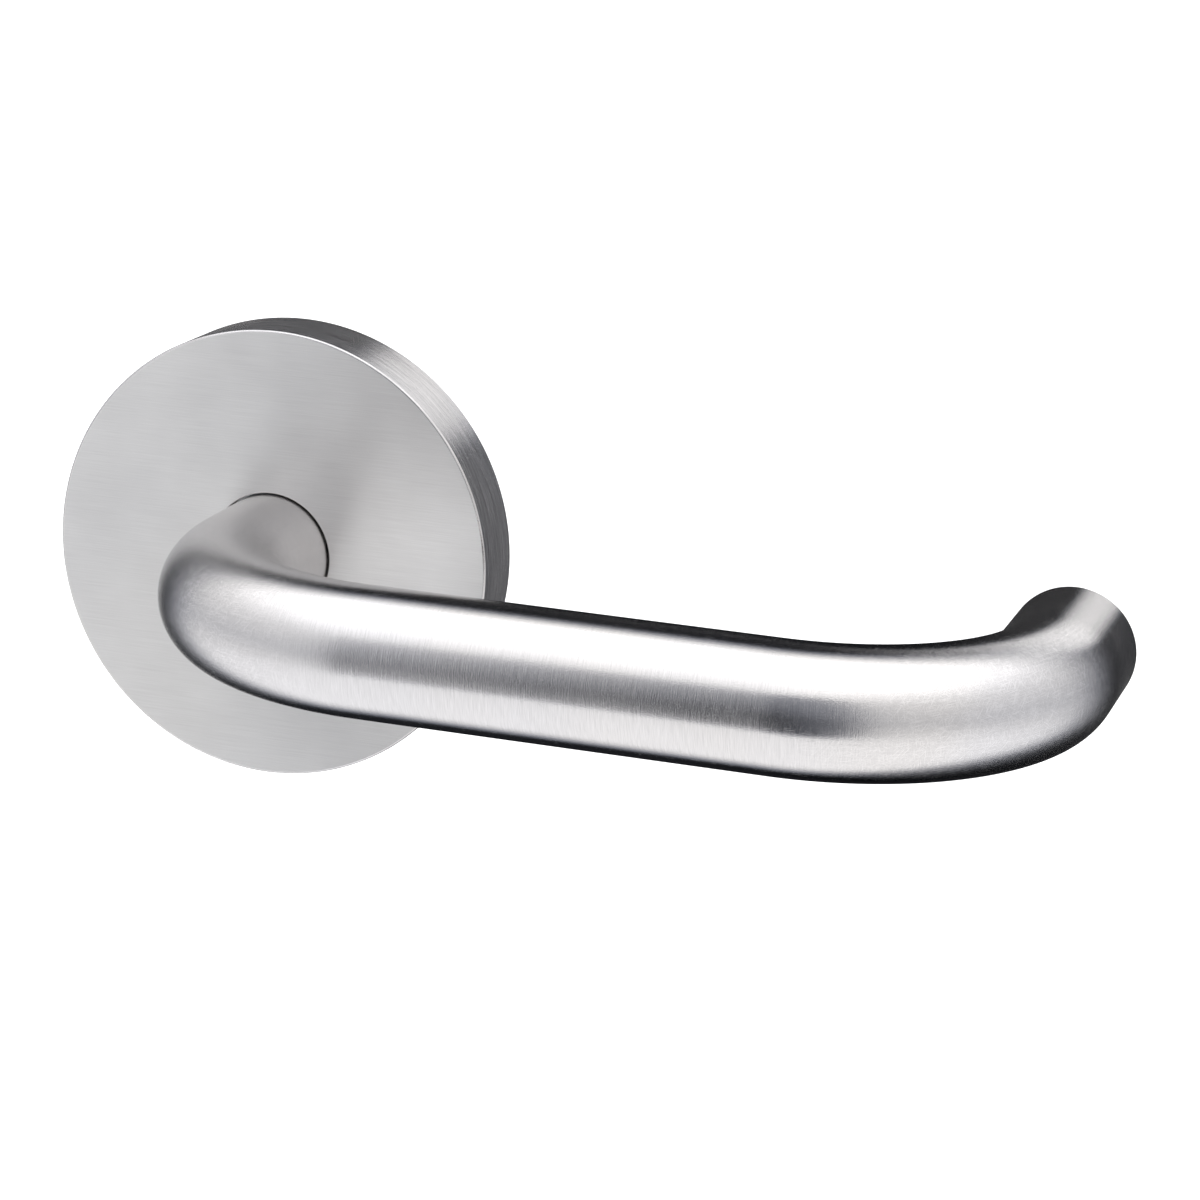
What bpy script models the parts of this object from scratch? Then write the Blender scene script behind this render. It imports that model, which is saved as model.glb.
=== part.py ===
"""Door lever handle on a round rose: a return-to-door lever bent from stainless tube.

Metres, +Z up. The spindle axis is the Y axis. y = 0 is the face of the door, -Y points out of the door
and the lever points along +X.
"""

import math

import bmesh
import bpy
from mathutils import Matrix, Vector

# ---------------------------------------------------------------- dimensions, in metres

# Clip-on cover of the rose
ROSE_RADIUS = 0.0350
ROSE_DEPTH = 0.0120
COVER_WALL = 0.0015
COVER_FOOT_Y = -0.0002
COVER_EDGE = 0.0004
COVER_HOLE_RADIUS = 0.01005

# Mounting plate behind the cover, with the barrel that carries the bearing
PLATE_RADIUS = 0.0330
PLATE_THICKNESS = 0.0030
GROOVE_FLOOR_RADIUS = 0.0319
GROOVE_FRONT_Y = -0.0023
GROOVE_BACK_Y = -0.0007
BARREL_RADIUS = 0.0120
BARREL_FRONT_Y = -0.0073
BARREL_BORE_RADIUS = 0.0100
COUNTERBORE_RADIUS = 0.0109
COUNTERBORE_DEPTH = 0.0028

# Lever: neck, grip and return are one tube
TUBE_RADIUS = 0.0095
TUBE_BORE_RADIUS = 0.0080
BEND_RADIUS = 0.0320
GRIP_DISTANCE = 0.0560
LEVER_REACH = 0.1240
NECK_END_Y = -0.0102
RETURN_END_Y = -0.0080
CAP_FRONT_Y = -0.0135
CAP_BACK_Y = -0.0084
BEND_STEPS = 12
TUBE_SIDES = 32

# Turned hub fixed in the neck of the tube
HUB_PLUG_RADIUS = 0.0077
HUB_FRONT_Y = -0.0240
HUB_JOURNAL_RADIUS = 0.0080
HUB_BACK_Y = 0.0006
HUB_SEAT_RADIUS = 0.0092
HUB_SEAT_FLAT = 0.0083
HUB_SEAT_REACH = 0.0110
HUB_SEAT_MARGIN = 0.0004
HUB_GROOVE_RADIUS = 0.0070
HUB_GROOVE_FRONT_Y = -0.0020
HUB_GROOVE_BACK_Y = -0.0006
SQUARE_HOLE = 0.0086
SQUARE_HOLE_END_Y = -0.0210

# Square spindle and the grub screw that holds the lever on it
SPINDLE_SIDE = 0.0080
SPINDLE_CHAMFER = 0.0005
SPINDLE_FRONT_Y = -0.0205
SPINDLE_BACK_Y = 0.0600
GRUB_RADIUS = 0.0025
GRUB_HOLE_RADIUS = 0.0028
GRUB_Y = -0.0170
GRUB_TOP = 0.0092
GRUB_TIP = 0.0043
GRUB_SOCKET = 0.0025
GRUB_SOCKET_DEPTH = 0.0020
GRUB_HOLE_TOP = 0.0036
GRUB_HOLE_BOTTOM = 0.0120

# Drive cam with the lug that winds the spring and meets the stop pins
CAM_RADIUS = 0.0140
CAM_FRONT_Y = -0.0099
CAM_BACK_Y = -0.0086
CAM_HOLE_RADIUS = 0.0095
CAM_HOLE_FLAT = 0.0086
CAM_ARM_REACH = 0.0205
CAM_ARM_HALF_WIDTH = 0.0030
LUG_INNER = 0.0193
LUG_OUTER = 0.0204
LUG_HALF_WIDTH = 0.0028
LUG_TIP_Y = -0.0042
LUG_ROOT_Y = -0.0096
LUG_CLEARANCE = 0.0003
LUG_PLAY = 0.00035
LUG_ANGLE = math.radians(157.5)
LEVER_TRAVEL = math.radians(45.0)

# Stop pins and spring post, riveted to the plate
PIN_CIRCLE = 0.01985
PIN_RADIUS = 0.00175
PIN_TAIL_RADIUS = 0.0012
PIN_HOLE_RADIUS = 0.0015
PIN_SHOULDER_Y = -0.0033
PIN_TAIL_Y = -0.0004
STOP_PIN_TOP_Y = -0.0062
POST_TOP_Y = -0.0060

# Torsion spring round the barrel
SPRING_WIRE_RADIUS = 0.00085
SPRING_COIL_RADIUS = 0.01415
SPRING_TURNS = 1.6
SPRING_FIXED_Y = -0.00415
SPRING_MOVING_Y = -0.00745
SPRING_LEG_REACH = 0.0220
SPRING_LEG_BEND = 0.0016
SPRING_SIDES = 10

# Bearing bush, thrust washer and retaining ring
BUSH_RADIUS = 0.0097
BUSH_BORE_RADIUS = 0.0083
BUSH_FLANGE_RADIUS = 0.0116
BUSH_FRONT_Y = -0.0083
BUSH_FLANGE_BACK_Y = -0.0076
BUSH_BACK_Y = -0.0031
WASHER_RADIUS = 0.0105
WASHER_FRONT_Y = -0.0025
WASHER_BACK_Y = -0.0020
RETAINER_BORE_RADIUS = 0.0073
RETAINER_FRONT_Y = -0.0017
RETAINER_BACK_Y = -0.0009
RETAINER_THIN_RADIUS = 0.0092
RETAINER_SWELL = 0.0010
RETAINER_EAR_RADIUS = 0.0105
RETAINER_EAR_SHARE = 0.05
RETAINER_GAP = math.radians(32.0)

# Wire ring in the rim of the plate that the cover clips over
SNAP_RING_RADIUS = 0.0327
SNAP_RING_WIRE = 0.0005
SNAP_RING_Y = -0.0015
SNAP_RING_GAP = math.radians(14.0)

# Fixings
BOLT_CENTRES = 0.0380
BOLT_SHANK_RADIUS = 0.0020
BOLT_HEAD_RADIUS = 0.0038
BOLT_END_Y = 0.0290
SLEEVE_RADIUS = 0.0030
SLEEVE_BORE_RADIUS = 0.0023
SLEEVE_HEAD_RADIUS = 0.0045
SLEEVE_FRONT_Y = 0.0120
SLEEVE_BORE_END_Y = 0.0310
SLEEVE_BORE_CONE = 0.0010
SLEEVE_HEAD_Y = 0.0350
SLEEVE_BACK_Y = 0.0364
SLEEVE_SLOT_DEPTH = 0.0010
SLEEVE_SLOT_HALF_WIDTH = 0.0006
WOOD_SCREW_CENTRES = 0.0520
WOOD_SCREW_RADIUS = 0.0016
WOOD_SCREW_HEAD_RADIUS = 0.0035
WOOD_SCREW_TIP_Y = 0.0130
WOOD_SCREW_POINT = 0.0040
HEAD_TOP_Y = -0.0028
HEAD_LAND = 0.0002
HEAD_CLEARANCE = 0.0004

# Cross recesses: half length, half width and depth
BOLT_RECESS = (0.0020, 0.00045, 0.0013)
WOOD_SCREW_RECESS = (0.0018, 0.0004, 0.0011)

CHAMFER = 0.0003
OVERSHOOT = 0.0005

# Angles on the plate, turned about +Y from +X, so that a larger angle is further down the lever's travel
PIN_OFFSET = (LUG_HALF_WIDTH + PIN_RADIUS + LUG_PLAY) / PIN_CIRCLE
REST_PIN_ANGLE = LUG_ANGLE - PIN_OFFSET
FULL_PIN_ANGLE = LUG_ANGLE + LEVER_TRAVEL + PIN_OFFSET
MOVING_LEG_ANGLE = LUG_ANGLE + (LUG_HALF_WIDTH + SPRING_WIRE_RADIUS + LUG_CLEARANCE) / PIN_CIRCLE
FIXED_LEG_ANGLE = MOVING_LEG_ANGLE - SPRING_TURNS * math.tau
POST_ANGLE = FIXED_LEG_ANGLE + (SPRING_WIRE_RADIUS + PIN_RADIUS + LUG_CLEARANCE) / PIN_CIRCLE
PINS = {
    "stop_pin_rest": REST_PIN_ANGLE,
    "stop_pin_full": FULL_PIN_ANGLE,
    "spring_post": POST_ANGLE,
}

# ---------------------------------------------------------------- materials: colour, roughness, metallic

STAINLESS = ((0.62, 0.60, 0.58), 0.34, 1.0)
ZINC_PLATED = ((0.60, 0.62, 0.66), 0.30, 1.0)
ZINC_ALLOY = ((0.44, 0.45, 0.47), 0.50, 1.0)
SPRING_STEEL = ((0.20, 0.20, 0.22), 0.35, 1.0)
BLACK_STEEL = ((0.06, 0.06, 0.065), 0.42, 1.0)
BRASS_PLATED = ((0.72, 0.60, 0.34), 0.32, 1.0)
ACETAL = ((0.86, 0.86, 0.83), 0.45, 0.0)


def make_material(name, finish):
    """A Principled material of this colour, roughness and metallic value."""
    colour, roughness, metallic = finish
    material = bpy.data.materials.new(name)
    material.use_nodes = True
    shader = material.node_tree.nodes["Principled BSDF"]
    shader.inputs["Base Color"].default_value = (*colour, 1.0)
    shader.inputs["Roughness"].default_value = roughness
    shader.inputs["Metallic"].default_value = metallic
    return material


# ---------------------------------------------------------------- mesh helpers


def polar(radius, angle, y):
    """The point at this angle about the spindle axis."""
    return Vector((radius * math.cos(angle), y, -radius * math.sin(angle)))


def bridge(bm, first, second, closed):
    """Faces between two rows of vertices. A row of one vertex is a tip."""
    count = max(len(first), len(second))
    for k in range(count if closed else count - 1):
        n = (k + 1) % count
        corners = []
        for row, index in ((first, k), (first, n), (second, n), (second, k)):
            vert = row[index % len(row)]
            if vert not in corners:
                corners.append(vert)
        bm.faces.new(corners)


def turned(profile, segments):
    """A body turned about the Y axis from (radius, y) points: a closed loop, or a line from axis to axis."""
    bm = bmesh.new()
    rows = []
    for radius, y in profile:
        if radius == 0.0:
            rows.append([bm.verts.new((0.0, y, 0.0))])
            continue
        angles = [math.tau * k / segments for k in range(segments)]
        rows.append([bm.verts.new((radius * math.cos(a), y, radius * math.sin(a))) for a in angles])
    hollow = profile[0][0] > 0.0
    following = rows[1:] + (rows[:1] if hollow else [])
    for first, second in zip(rows, following):
        bridge(bm, first, second, True)
    return bm


def prism(outline, y_front, y_back):
    """A plate with this (x, z) outline between two y values."""
    bm = bmesh.new()
    rows = [[bm.verts.new((x, y, z)) for x, z in outline] for y in (y_front, y_back)]
    bridge(bm, rows[0], rows[1], True)
    bm.faces.new(rows[0])
    bm.faces.new(rows[1])
    return bm


def box(low, high):
    """A box between two corners."""
    outline = [(low[0], low[2]), (high[0], low[2]), (high[0], high[2]), (low[0], high[2])]
    return prism(outline, low[1], high[1])


def rings_along(path, sides):
    """Unit circles square to a path, carried along it without twisting."""
    tangents = []
    for k in range(len(path)):
        ahead = path[min(k + 1, len(path) - 1)]
        behind = path[max(k - 1, 0)]
        tangents.append((ahead - behind).normalized())
    side = tangents[0].orthogonal().normalized()
    rings = []
    for k, tangent in enumerate(tangents):
        if k:
            side = tangents[k - 1].rotation_difference(tangent) @ side
        side = (side - side.dot(tangent) * tangent).normalized()
        across = tangent.cross(side)
        turns = [math.tau * n / sides for n in range(sides)]
        rings.append([side * math.cos(a) + across * math.sin(a) for a in turns])
    return rings


def rod_along(path, radius, sides):
    """A round rod along a path, closed at both ends."""
    bm = bmesh.new()
    rows = []
    for point, ring in zip(path, rings_along(path, sides)):
        rows.append([bm.verts.new(point + radius * direction) for direction in ring])
    for first, second in zip(rows, rows[1:]):
        bridge(bm, first, second, True)
    bm.faces.new(rows[0])
    bm.faces.new(rows[-1])
    return bm


def tube_along(path, outer, inner, sides):
    """A tube along a path, open at both ends."""
    bm = bmesh.new()
    rings = rings_along(path, sides)
    skins = []
    for radius in (outer, inner):
        rows = []
        for point, ring in zip(path, rings):
            rows.append([bm.verts.new(point + radius * direction) for direction in ring])
        for first, second in zip(rows, rows[1:]):
            bridge(bm, first, second, True)
        skins.append(rows)
    bridge(bm, skins[0][0], skins[1][0], True)
    bridge(bm, skins[0][-1], skins[1][-1], True)
    return bm


def make_object(name, bm, location=(0.0, 0.0, 0.0), matrix=None):
    """An object from a bmesh, with its faces pointing out."""
    if matrix is not None:
        bmesh.ops.transform(bm, matrix=matrix, verts=bm.verts)
    bmesh.ops.recalc_face_normals(bm, faces=bm.faces)
    mesh = bpy.data.meshes.new(name)
    bm.to_mesh(mesh)
    bm.free()
    mesh.shade_smooth()
    mesh.set_sharp_from_angle(angle=math.radians(32.0))
    obj = bpy.data.objects.new(name, mesh)
    obj.location = location
    bpy.context.scene.collection.objects.link(obj)
    return obj


def add_part(name, bm, finish, parent=None, location=(0.0, 0.0, 0.0), matrix=None):
    """A piece of the handle, with a material of its own."""
    obj = make_object(name, bm, location, matrix)
    obj.data.materials.append(make_material(name, finish))
    obj.parent = parent
    return obj


def combine(obj, operation, name, bm, matrix=None, location=(0.0, 0.0, 0.0)):
    """A Boolean of obj with a hidden helper."""
    helper = make_object(name, bm, location, matrix)
    helper.hide_render = True
    helper.display_type = "WIRE"
    modifier = obj.modifiers.new(name, "BOOLEAN")
    modifier.operation = operation
    modifier.solver = "EXACT"
    modifier.object = helper


def pivot(name):
    """An empty on the spindle axis that the pieces of a moving body hang from."""
    empty = bpy.data.objects.new(name, None)
    empty.empty_display_size = 0.01
    bpy.context.scene.collection.objects.link(empty)
    return empty


# ---------------------------------------------------------------- pieces that stay with the door


def countersunk(shank_radius, head_radius, tip):
    """Half profile of a countersunk screw whose head is flush with the plate. tip is its (radius, y) end."""
    cone_end = HEAD_TOP_Y + HEAD_LAND + head_radius - shank_radius
    return [
        (0.0, HEAD_TOP_Y),
        (head_radius, HEAD_TOP_Y),
        (head_radius, HEAD_TOP_Y + HEAD_LAND),
        (shank_radius, cone_end),
        *tip,
    ]


def countersink(shank_radius, head_radius):
    """The hole in the plate for such a screw."""
    front = -PLATE_THICKNESS - OVERSHOOT
    cone_end = HEAD_TOP_Y + HEAD_LAND + head_radius - shank_radius
    rise = HEAD_TOP_Y + HEAD_LAND - front
    return [
        (0.0, front),
        (head_radius + HEAD_CLEARANCE + rise, front),
        (shank_radius + HEAD_CLEARANCE, cone_end),
        (shank_radius + HEAD_CLEARANCE, OVERSHOOT),
        (0.0, OVERSHOOT),
    ]


def add_mounting_plate():
    """Round base with the barrel for the bearing, screw holes, pin holes and a groove in its rim."""
    floor = -COUNTERBORE_DEPTH
    profile = [
        (COUNTERBORE_RADIUS, 0.0),
        (PLATE_RADIUS, 0.0),
        (PLATE_RADIUS, GROOVE_BACK_Y),
        (GROOVE_FLOOR_RADIUS, GROOVE_BACK_Y),
        (GROOVE_FLOOR_RADIUS, GROOVE_FRONT_Y),
        (PLATE_RADIUS, GROOVE_FRONT_Y),
        (PLATE_RADIUS, -PLATE_THICKNESS + CHAMFER),
        (PLATE_RADIUS - CHAMFER, -PLATE_THICKNESS),
        (BARREL_RADIUS, -PLATE_THICKNESS),
        (BARREL_RADIUS, BARREL_FRONT_Y + CHAMFER),
        (BARREL_RADIUS - CHAMFER, BARREL_FRONT_Y),
        (BARREL_BORE_RADIUS, BARREL_FRONT_Y),
        (BARREL_BORE_RADIUS, floor),
        (COUNTERBORE_RADIUS, floor),
    ]
    plate = add_part("mounting_plate", turned(profile, 64), ZINC_ALLOY)
    for side, z in (("upper", BOLT_CENTRES / 2), ("lower", -BOLT_CENTRES / 2)):
        hole = turned(countersink(BOLT_SHANK_RADIUS, BOLT_HEAD_RADIUS), 20)
        combine(plate, "DIFFERENCE", f"hole_bolt_{side}", hole, location=(0.0, 0.0, z))
    for side, x in (("left", -WOOD_SCREW_CENTRES / 2), ("right", WOOD_SCREW_CENTRES / 2)):
        hole = turned(countersink(WOOD_SCREW_RADIUS, WOOD_SCREW_HEAD_RADIUS), 20)
        combine(plate, "DIFFERENCE", f"hole_wood_screw_{side}", hole, location=(x, 0.0, 0.0))
    for name, angle in PINS.items():
        front, back = -PLATE_THICKNESS - OVERSHOOT, OVERSHOOT
        hole = turned([(0.0, front), (PIN_HOLE_RADIUS, front), (PIN_HOLE_RADIUS, back), (0.0, back)], 12)
        combine(plate, "DIFFERENCE", f"hole_{name}", hole, location=polar(PIN_CIRCLE, angle, 0.0))


def add_pins():
    """Two stop pins for the lug and the post that holds the fixed leg of the spring."""
    for name, angle in PINS.items():
        top = POST_TOP_Y if name == "spring_post" else STOP_PIN_TOP_Y
        profile = [
            (0.0, top),
            (PIN_RADIUS - CHAMFER, top),
            (PIN_RADIUS, top + CHAMFER),
            (PIN_RADIUS, PIN_SHOULDER_Y),
            (PIN_TAIL_RADIUS, PIN_SHOULDER_Y),
            (PIN_TAIL_RADIUS, PIN_TAIL_Y),
            (0.0, PIN_TAIL_Y),
        ]
        add_part(name, turned(profile, 20), ZINC_PLATED, location=polar(PIN_CIRCLE, angle, 0.0))


def add_bearing():
    """Flanged bush in the barrel."""
    profile = [
        (BUSH_BORE_RADIUS, BUSH_FRONT_Y),
        (BUSH_FLANGE_RADIUS, BUSH_FRONT_Y),
        (BUSH_FLANGE_RADIUS, BUSH_FLANGE_BACK_Y),
        (BUSH_RADIUS, BUSH_FLANGE_BACK_Y),
        (BUSH_RADIUS, BUSH_BACK_Y),
        (BUSH_BORE_RADIUS, BUSH_BACK_Y),
    ]
    add_part("bearing_bush", turned(profile, 40), ACETAL)


def add_snap_ring():
    """Split wire ring that lies in the groove of the plate."""
    steps = 56
    start = SNAP_RING_GAP / 2
    sweep = math.tau - SNAP_RING_GAP
    path = [polar(SNAP_RING_RADIUS, start + sweep * k / steps, SNAP_RING_Y) for k in range(steps + 1)]
    add_part("cover_snap_ring", rod_along(path, SNAP_RING_WIRE, 8), SPRING_STEEL)


def spring_leg(angle, y, turn):
    """Points of one leg, from its tip in to the coil. turn is +1 where the coil runs on to larger angles."""
    out = polar(1.0, angle, 0.0)
    along = turn * (polar(1.0, angle + math.pi / 2, 0.0))
    centre = (SPRING_COIL_RADIUS + SPRING_LEG_BEND) * out + SPRING_LEG_BEND * along
    points = [SPRING_LEG_REACH * out]
    for k in range(5):
        bend = math.pi / 2 * k / 4
        points.append(centre - SPRING_LEG_BEND * (math.cos(bend) * along + math.sin(bend) * out))
    return [Vector((p.x, y, p.z)) for p in points]


def add_return_spring():
    """Torsion spring: one leg on the post, the other on the lug of the cam."""
    lead = math.atan2(SPRING_LEG_BEND, SPRING_COIL_RADIUS)
    first = FIXED_LEG_ANGLE + lead
    last = MOVING_LEG_ANGLE - lead
    steps = round((last - first) / math.radians(11.0))
    coil = []
    for k in range(1, steps):
        t = k / steps
        y = SPRING_FIXED_Y + (SPRING_MOVING_Y - SPRING_FIXED_Y) * t
        coil.append(polar(SPRING_COIL_RADIUS, first + (last - first) * t, y))
    head = spring_leg(FIXED_LEG_ANGLE, SPRING_FIXED_Y, 1)
    tail = spring_leg(MOVING_LEG_ANGLE, SPRING_MOVING_Y, -1)
    path = head + coil + tail[::-1]
    add_part("return_spring", rod_along(path, SPRING_WIRE_RADIUS, SPRING_SIDES), SPRING_STEEL)


def cross_recess(obj, name, recess):
    """A cross driver recess in the head of a screw."""
    half_length, half_width, depth = recess
    front = HEAD_TOP_Y - OVERSHOOT
    back = HEAD_TOP_Y + depth
    arms = ((half_length, half_width), (half_width, half_length))
    for number, (x, z) in enumerate(arms):
        slot = box((-x, front, -z), (x, back, z))
        combine(obj, "DIFFERENCE", f"recess_{name}_{number}", slot, location=obj.location)


def add_fixings():
    """Two bolts through the door with their sleeve nuts, and two wood screws."""
    for side, z in (("upper", BOLT_CENTRES / 2), ("lower", -BOLT_CENTRES / 2)):
        shank, end = BOLT_SHANK_RADIUS, BOLT_END_Y
        tip = [(shank, end - 2 * CHAMFER), (shank - 2 * CHAMFER, end), (0.0, end)]
        profile = countersunk(shank, BOLT_HEAD_RADIUS, tip)
        name = f"fixing_bolt_{side}"
        bolt = add_part(name, turned(profile, 24), ZINC_PLATED, location=(0.0, 0.0, z))
        cross_recess(bolt, name, BOLT_RECESS)
        profile = [
            (0.0, SLEEVE_BORE_END_Y),
            (SLEEVE_BORE_RADIUS, SLEEVE_BORE_END_Y - SLEEVE_BORE_CONE),
            (SLEEVE_BORE_RADIUS, SLEEVE_FRONT_Y),
            (SLEEVE_RADIUS, SLEEVE_FRONT_Y),
            (SLEEVE_RADIUS, SLEEVE_HEAD_Y),
            (SLEEVE_HEAD_RADIUS, SLEEVE_HEAD_Y),
            (SLEEVE_HEAD_RADIUS, SLEEVE_BACK_Y - CHAMFER),
            (SLEEVE_HEAD_RADIUS - CHAMFER, SLEEVE_BACK_Y),
            (0.0, SLEEVE_BACK_Y),
        ]
        name = f"sleeve_nut_{side}"
        nut = add_part(name, turned(profile, 24), ZINC_PLATED, location=(0.0, 0.0, z))
        reach, half = SLEEVE_HEAD_RADIUS + OVERSHOOT, SLEEVE_SLOT_HALF_WIDTH
        front, back = SLEEVE_BACK_Y - SLEEVE_SLOT_DEPTH, SLEEVE_BACK_Y + OVERSHOOT
        slot = box((-reach, front, -half), (reach, back, half))
        combine(nut, "DIFFERENCE", f"slot_{name}", slot, location=(0.0, 0.0, z))
    for side, x in (("left", -WOOD_SCREW_CENTRES / 2), ("right", WOOD_SCREW_CENTRES / 2)):
        shank, end = WOOD_SCREW_RADIUS, WOOD_SCREW_TIP_Y
        tip = [(shank, end - WOOD_SCREW_POINT), (0.0, end)]
        profile = countersunk(shank, WOOD_SCREW_HEAD_RADIUS, tip)
        name = f"wood_screw_{side}"
        screw = add_part(name, turned(profile, 20), BRASS_PLATED, location=(x, 0.0, 0.0))
        cross_recess(screw, name, WOOD_SCREW_RECESS)


# ---------------------------------------------------------------- cover, which slides off along the neck


def add_cover(parent):
    """Pressed cup with a hole for the neck."""
    front = -ROSE_DEPTH
    inner_front = front + COVER_WALL
    inner_radius = ROSE_RADIUS - COVER_WALL
    profile = [
        (COVER_HOLE_RADIUS, front),
        (ROSE_RADIUS - COVER_EDGE, front),
        (ROSE_RADIUS, front + COVER_EDGE),
        (ROSE_RADIUS, COVER_FOOT_Y),
        (inner_radius, COVER_FOOT_Y),
        (inner_radius, inner_front + COVER_EDGE),
        (inner_radius - COVER_EDGE, inner_front),
        (COVER_HOLE_RADIUS, inner_front),
    ]
    add_part("rose_cover", turned(profile, 80), STAINLESS, parent)


# ---------------------------------------------------------------- pieces that turn with the lever


def lever_path():
    """Centre line of the tube: neck, bend, grip, bend, return."""
    bend_y = -GRIP_DISTANCE + BEND_RADIUS
    path = [Vector((0.0, NECK_END_Y, 0.0))]
    for centre_x, start in ((BEND_RADIUS, math.pi), (LEVER_REACH - BEND_RADIUS, 1.5 * math.pi)):
        for k in range(BEND_STEPS + 1):
            angle = start + math.pi / 2 * k / BEND_STEPS
            x = centre_x + BEND_RADIUS * math.cos(angle)
            y = bend_y + BEND_RADIUS * math.sin(angle)
            path.append(Vector((x, y, 0.0)))
    path.append(Vector((LEVER_REACH, RETURN_END_Y, 0.0)))
    return path


def grub_hole(parent, name):
    """The hole from below for the grub screw."""
    ends = [Vector((0.0, GRUB_Y, -GRUB_HOLE_TOP)), Vector((0.0, GRUB_Y, -GRUB_HOLE_BOTTOM))]
    combine(parent, "DIFFERENCE", name, rod_along(ends, GRUB_HOLE_RADIUS, 20))


def add_tube(parent):
    """The bent tube and the plug that closes its return."""
    bm = tube_along(lever_path(), TUBE_RADIUS, TUBE_BORE_RADIUS, TUBE_SIDES)
    tube = add_part("lever_tube", bm, STAINLESS, parent)
    grub_hole(tube, "hole_tube_grub")
    profile = [
        (0.0, CAP_FRONT_Y),
        (HUB_PLUG_RADIUS - 2 * CHAMFER, CAP_FRONT_Y),
        (HUB_PLUG_RADIUS, CAP_FRONT_Y + 2 * CHAMFER),
        (HUB_PLUG_RADIUS, CAP_BACK_Y - CHAMFER),
        (HUB_PLUG_RADIUS - CHAMFER, CAP_BACK_Y),
        (0.0, CAP_BACK_Y),
    ]
    shift = Matrix.Translation((LEVER_REACH, 0.0, 0.0))
    add_part("end_cap", turned(profile, 32), STAINLESS, parent, matrix=shift)


def add_hub(parent):
    """Turned hub: plug in the tube, seat for the cam, journal and retaining groove."""
    profile = [
        (0.0, HUB_FRONT_Y),
        (HUB_PLUG_RADIUS - 2 * CHAMFER, HUB_FRONT_Y),
        (HUB_PLUG_RADIUS, HUB_FRONT_Y + 2 * CHAMFER),
        (HUB_PLUG_RADIUS, CAM_FRONT_Y),
        (HUB_SEAT_RADIUS, CAM_FRONT_Y),
        (HUB_SEAT_RADIUS, CAM_BACK_Y),
        (HUB_JOURNAL_RADIUS, CAM_BACK_Y),
        (HUB_JOURNAL_RADIUS, HUB_GROOVE_FRONT_Y),
        (HUB_GROOVE_RADIUS, HUB_GROOVE_FRONT_Y),
        (HUB_GROOVE_RADIUS, HUB_GROOVE_BACK_Y),
        (HUB_JOURNAL_RADIUS, HUB_GROOVE_BACK_Y),
        (HUB_JOURNAL_RADIUS, HUB_BACK_Y - CHAMFER),
        (HUB_JOURNAL_RADIUS - CHAMFER, HUB_BACK_Y),
        (0.0, HUB_BACK_Y),
    ]
    hub = add_part("neck_hub", turned(profile, 40), STAINLESS, parent)
    for side, sign in (("upper", 1), ("lower", -1)):
        low, high = sorted((sign * HUB_SEAT_FLAT, sign * HUB_SEAT_REACH))
        front, back = CAM_FRONT_Y - HUB_SEAT_MARGIN, CAM_BACK_Y + HUB_SEAT_MARGIN
        flat = box((-HUB_SEAT_REACH, front, low), (HUB_SEAT_REACH, back, high))
        combine(hub, "DIFFERENCE", f"flat_{side}", flat)
    half = SQUARE_HOLE / 2
    hole = box((-half, SQUARE_HOLE_END_Y, -half), (half, HUB_BACK_Y + OVERSHOOT, half))
    combine(hub, "DIFFERENCE", "hole_square", hole)
    grub_hole(hub, "hole_hub_grub")


def add_spindle(parent):
    """Square bar that reaches through the lock to the far side of the door."""
    half, cut = SPINDLE_SIDE / 2, SPINDLE_CHAMFER
    outline = []
    for x, z in ((1, 1), (-1, 1), (-1, -1), (1, -1)):
        corner = [(x * half, z * (half - cut)), (x * (half - cut), z * half)]
        outline += corner if x * z > 0 else corner[::-1]
    add_part("spindle", prism(outline, SPINDLE_FRONT_Y, SPINDLE_BACK_Y), ZINC_PLATED, parent)


def add_grub_screw(parent):
    """Socket grub screw, driven up from below the neck."""
    profile = [
        (0.0, GRUB_TIP),
        (GRUB_RADIUS - 2 * CHAMFER, GRUB_TIP),
        (GRUB_RADIUS, GRUB_TIP + 2 * CHAMFER),
        (GRUB_RADIUS, GRUB_TOP - CHAMFER),
        (GRUB_RADIUS - CHAMFER, GRUB_TOP),
        (0.0, GRUB_TOP),
    ]
    downwards = Matrix.Translation((0.0, GRUB_Y, 0.0)) @ Matrix.Rotation(-math.pi / 2, 4, "X")
    screw = add_part("grub_screw", turned(profile, 20), BLACK_STEEL, parent, matrix=downwards)
    corner = GRUB_SOCKET / math.sqrt(3)
    hexagon = [(corner * math.cos(math.tau * k / 6), corner * math.sin(math.tau * k / 6)) for k in range(6)]
    socket = prism(hexagon, GRUB_TOP - GRUB_SOCKET_DEPTH, GRUB_TOP + OVERSHOOT)
    combine(screw, "DIFFERENCE", "socket_grub", socket, matrix=downwards)


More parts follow.
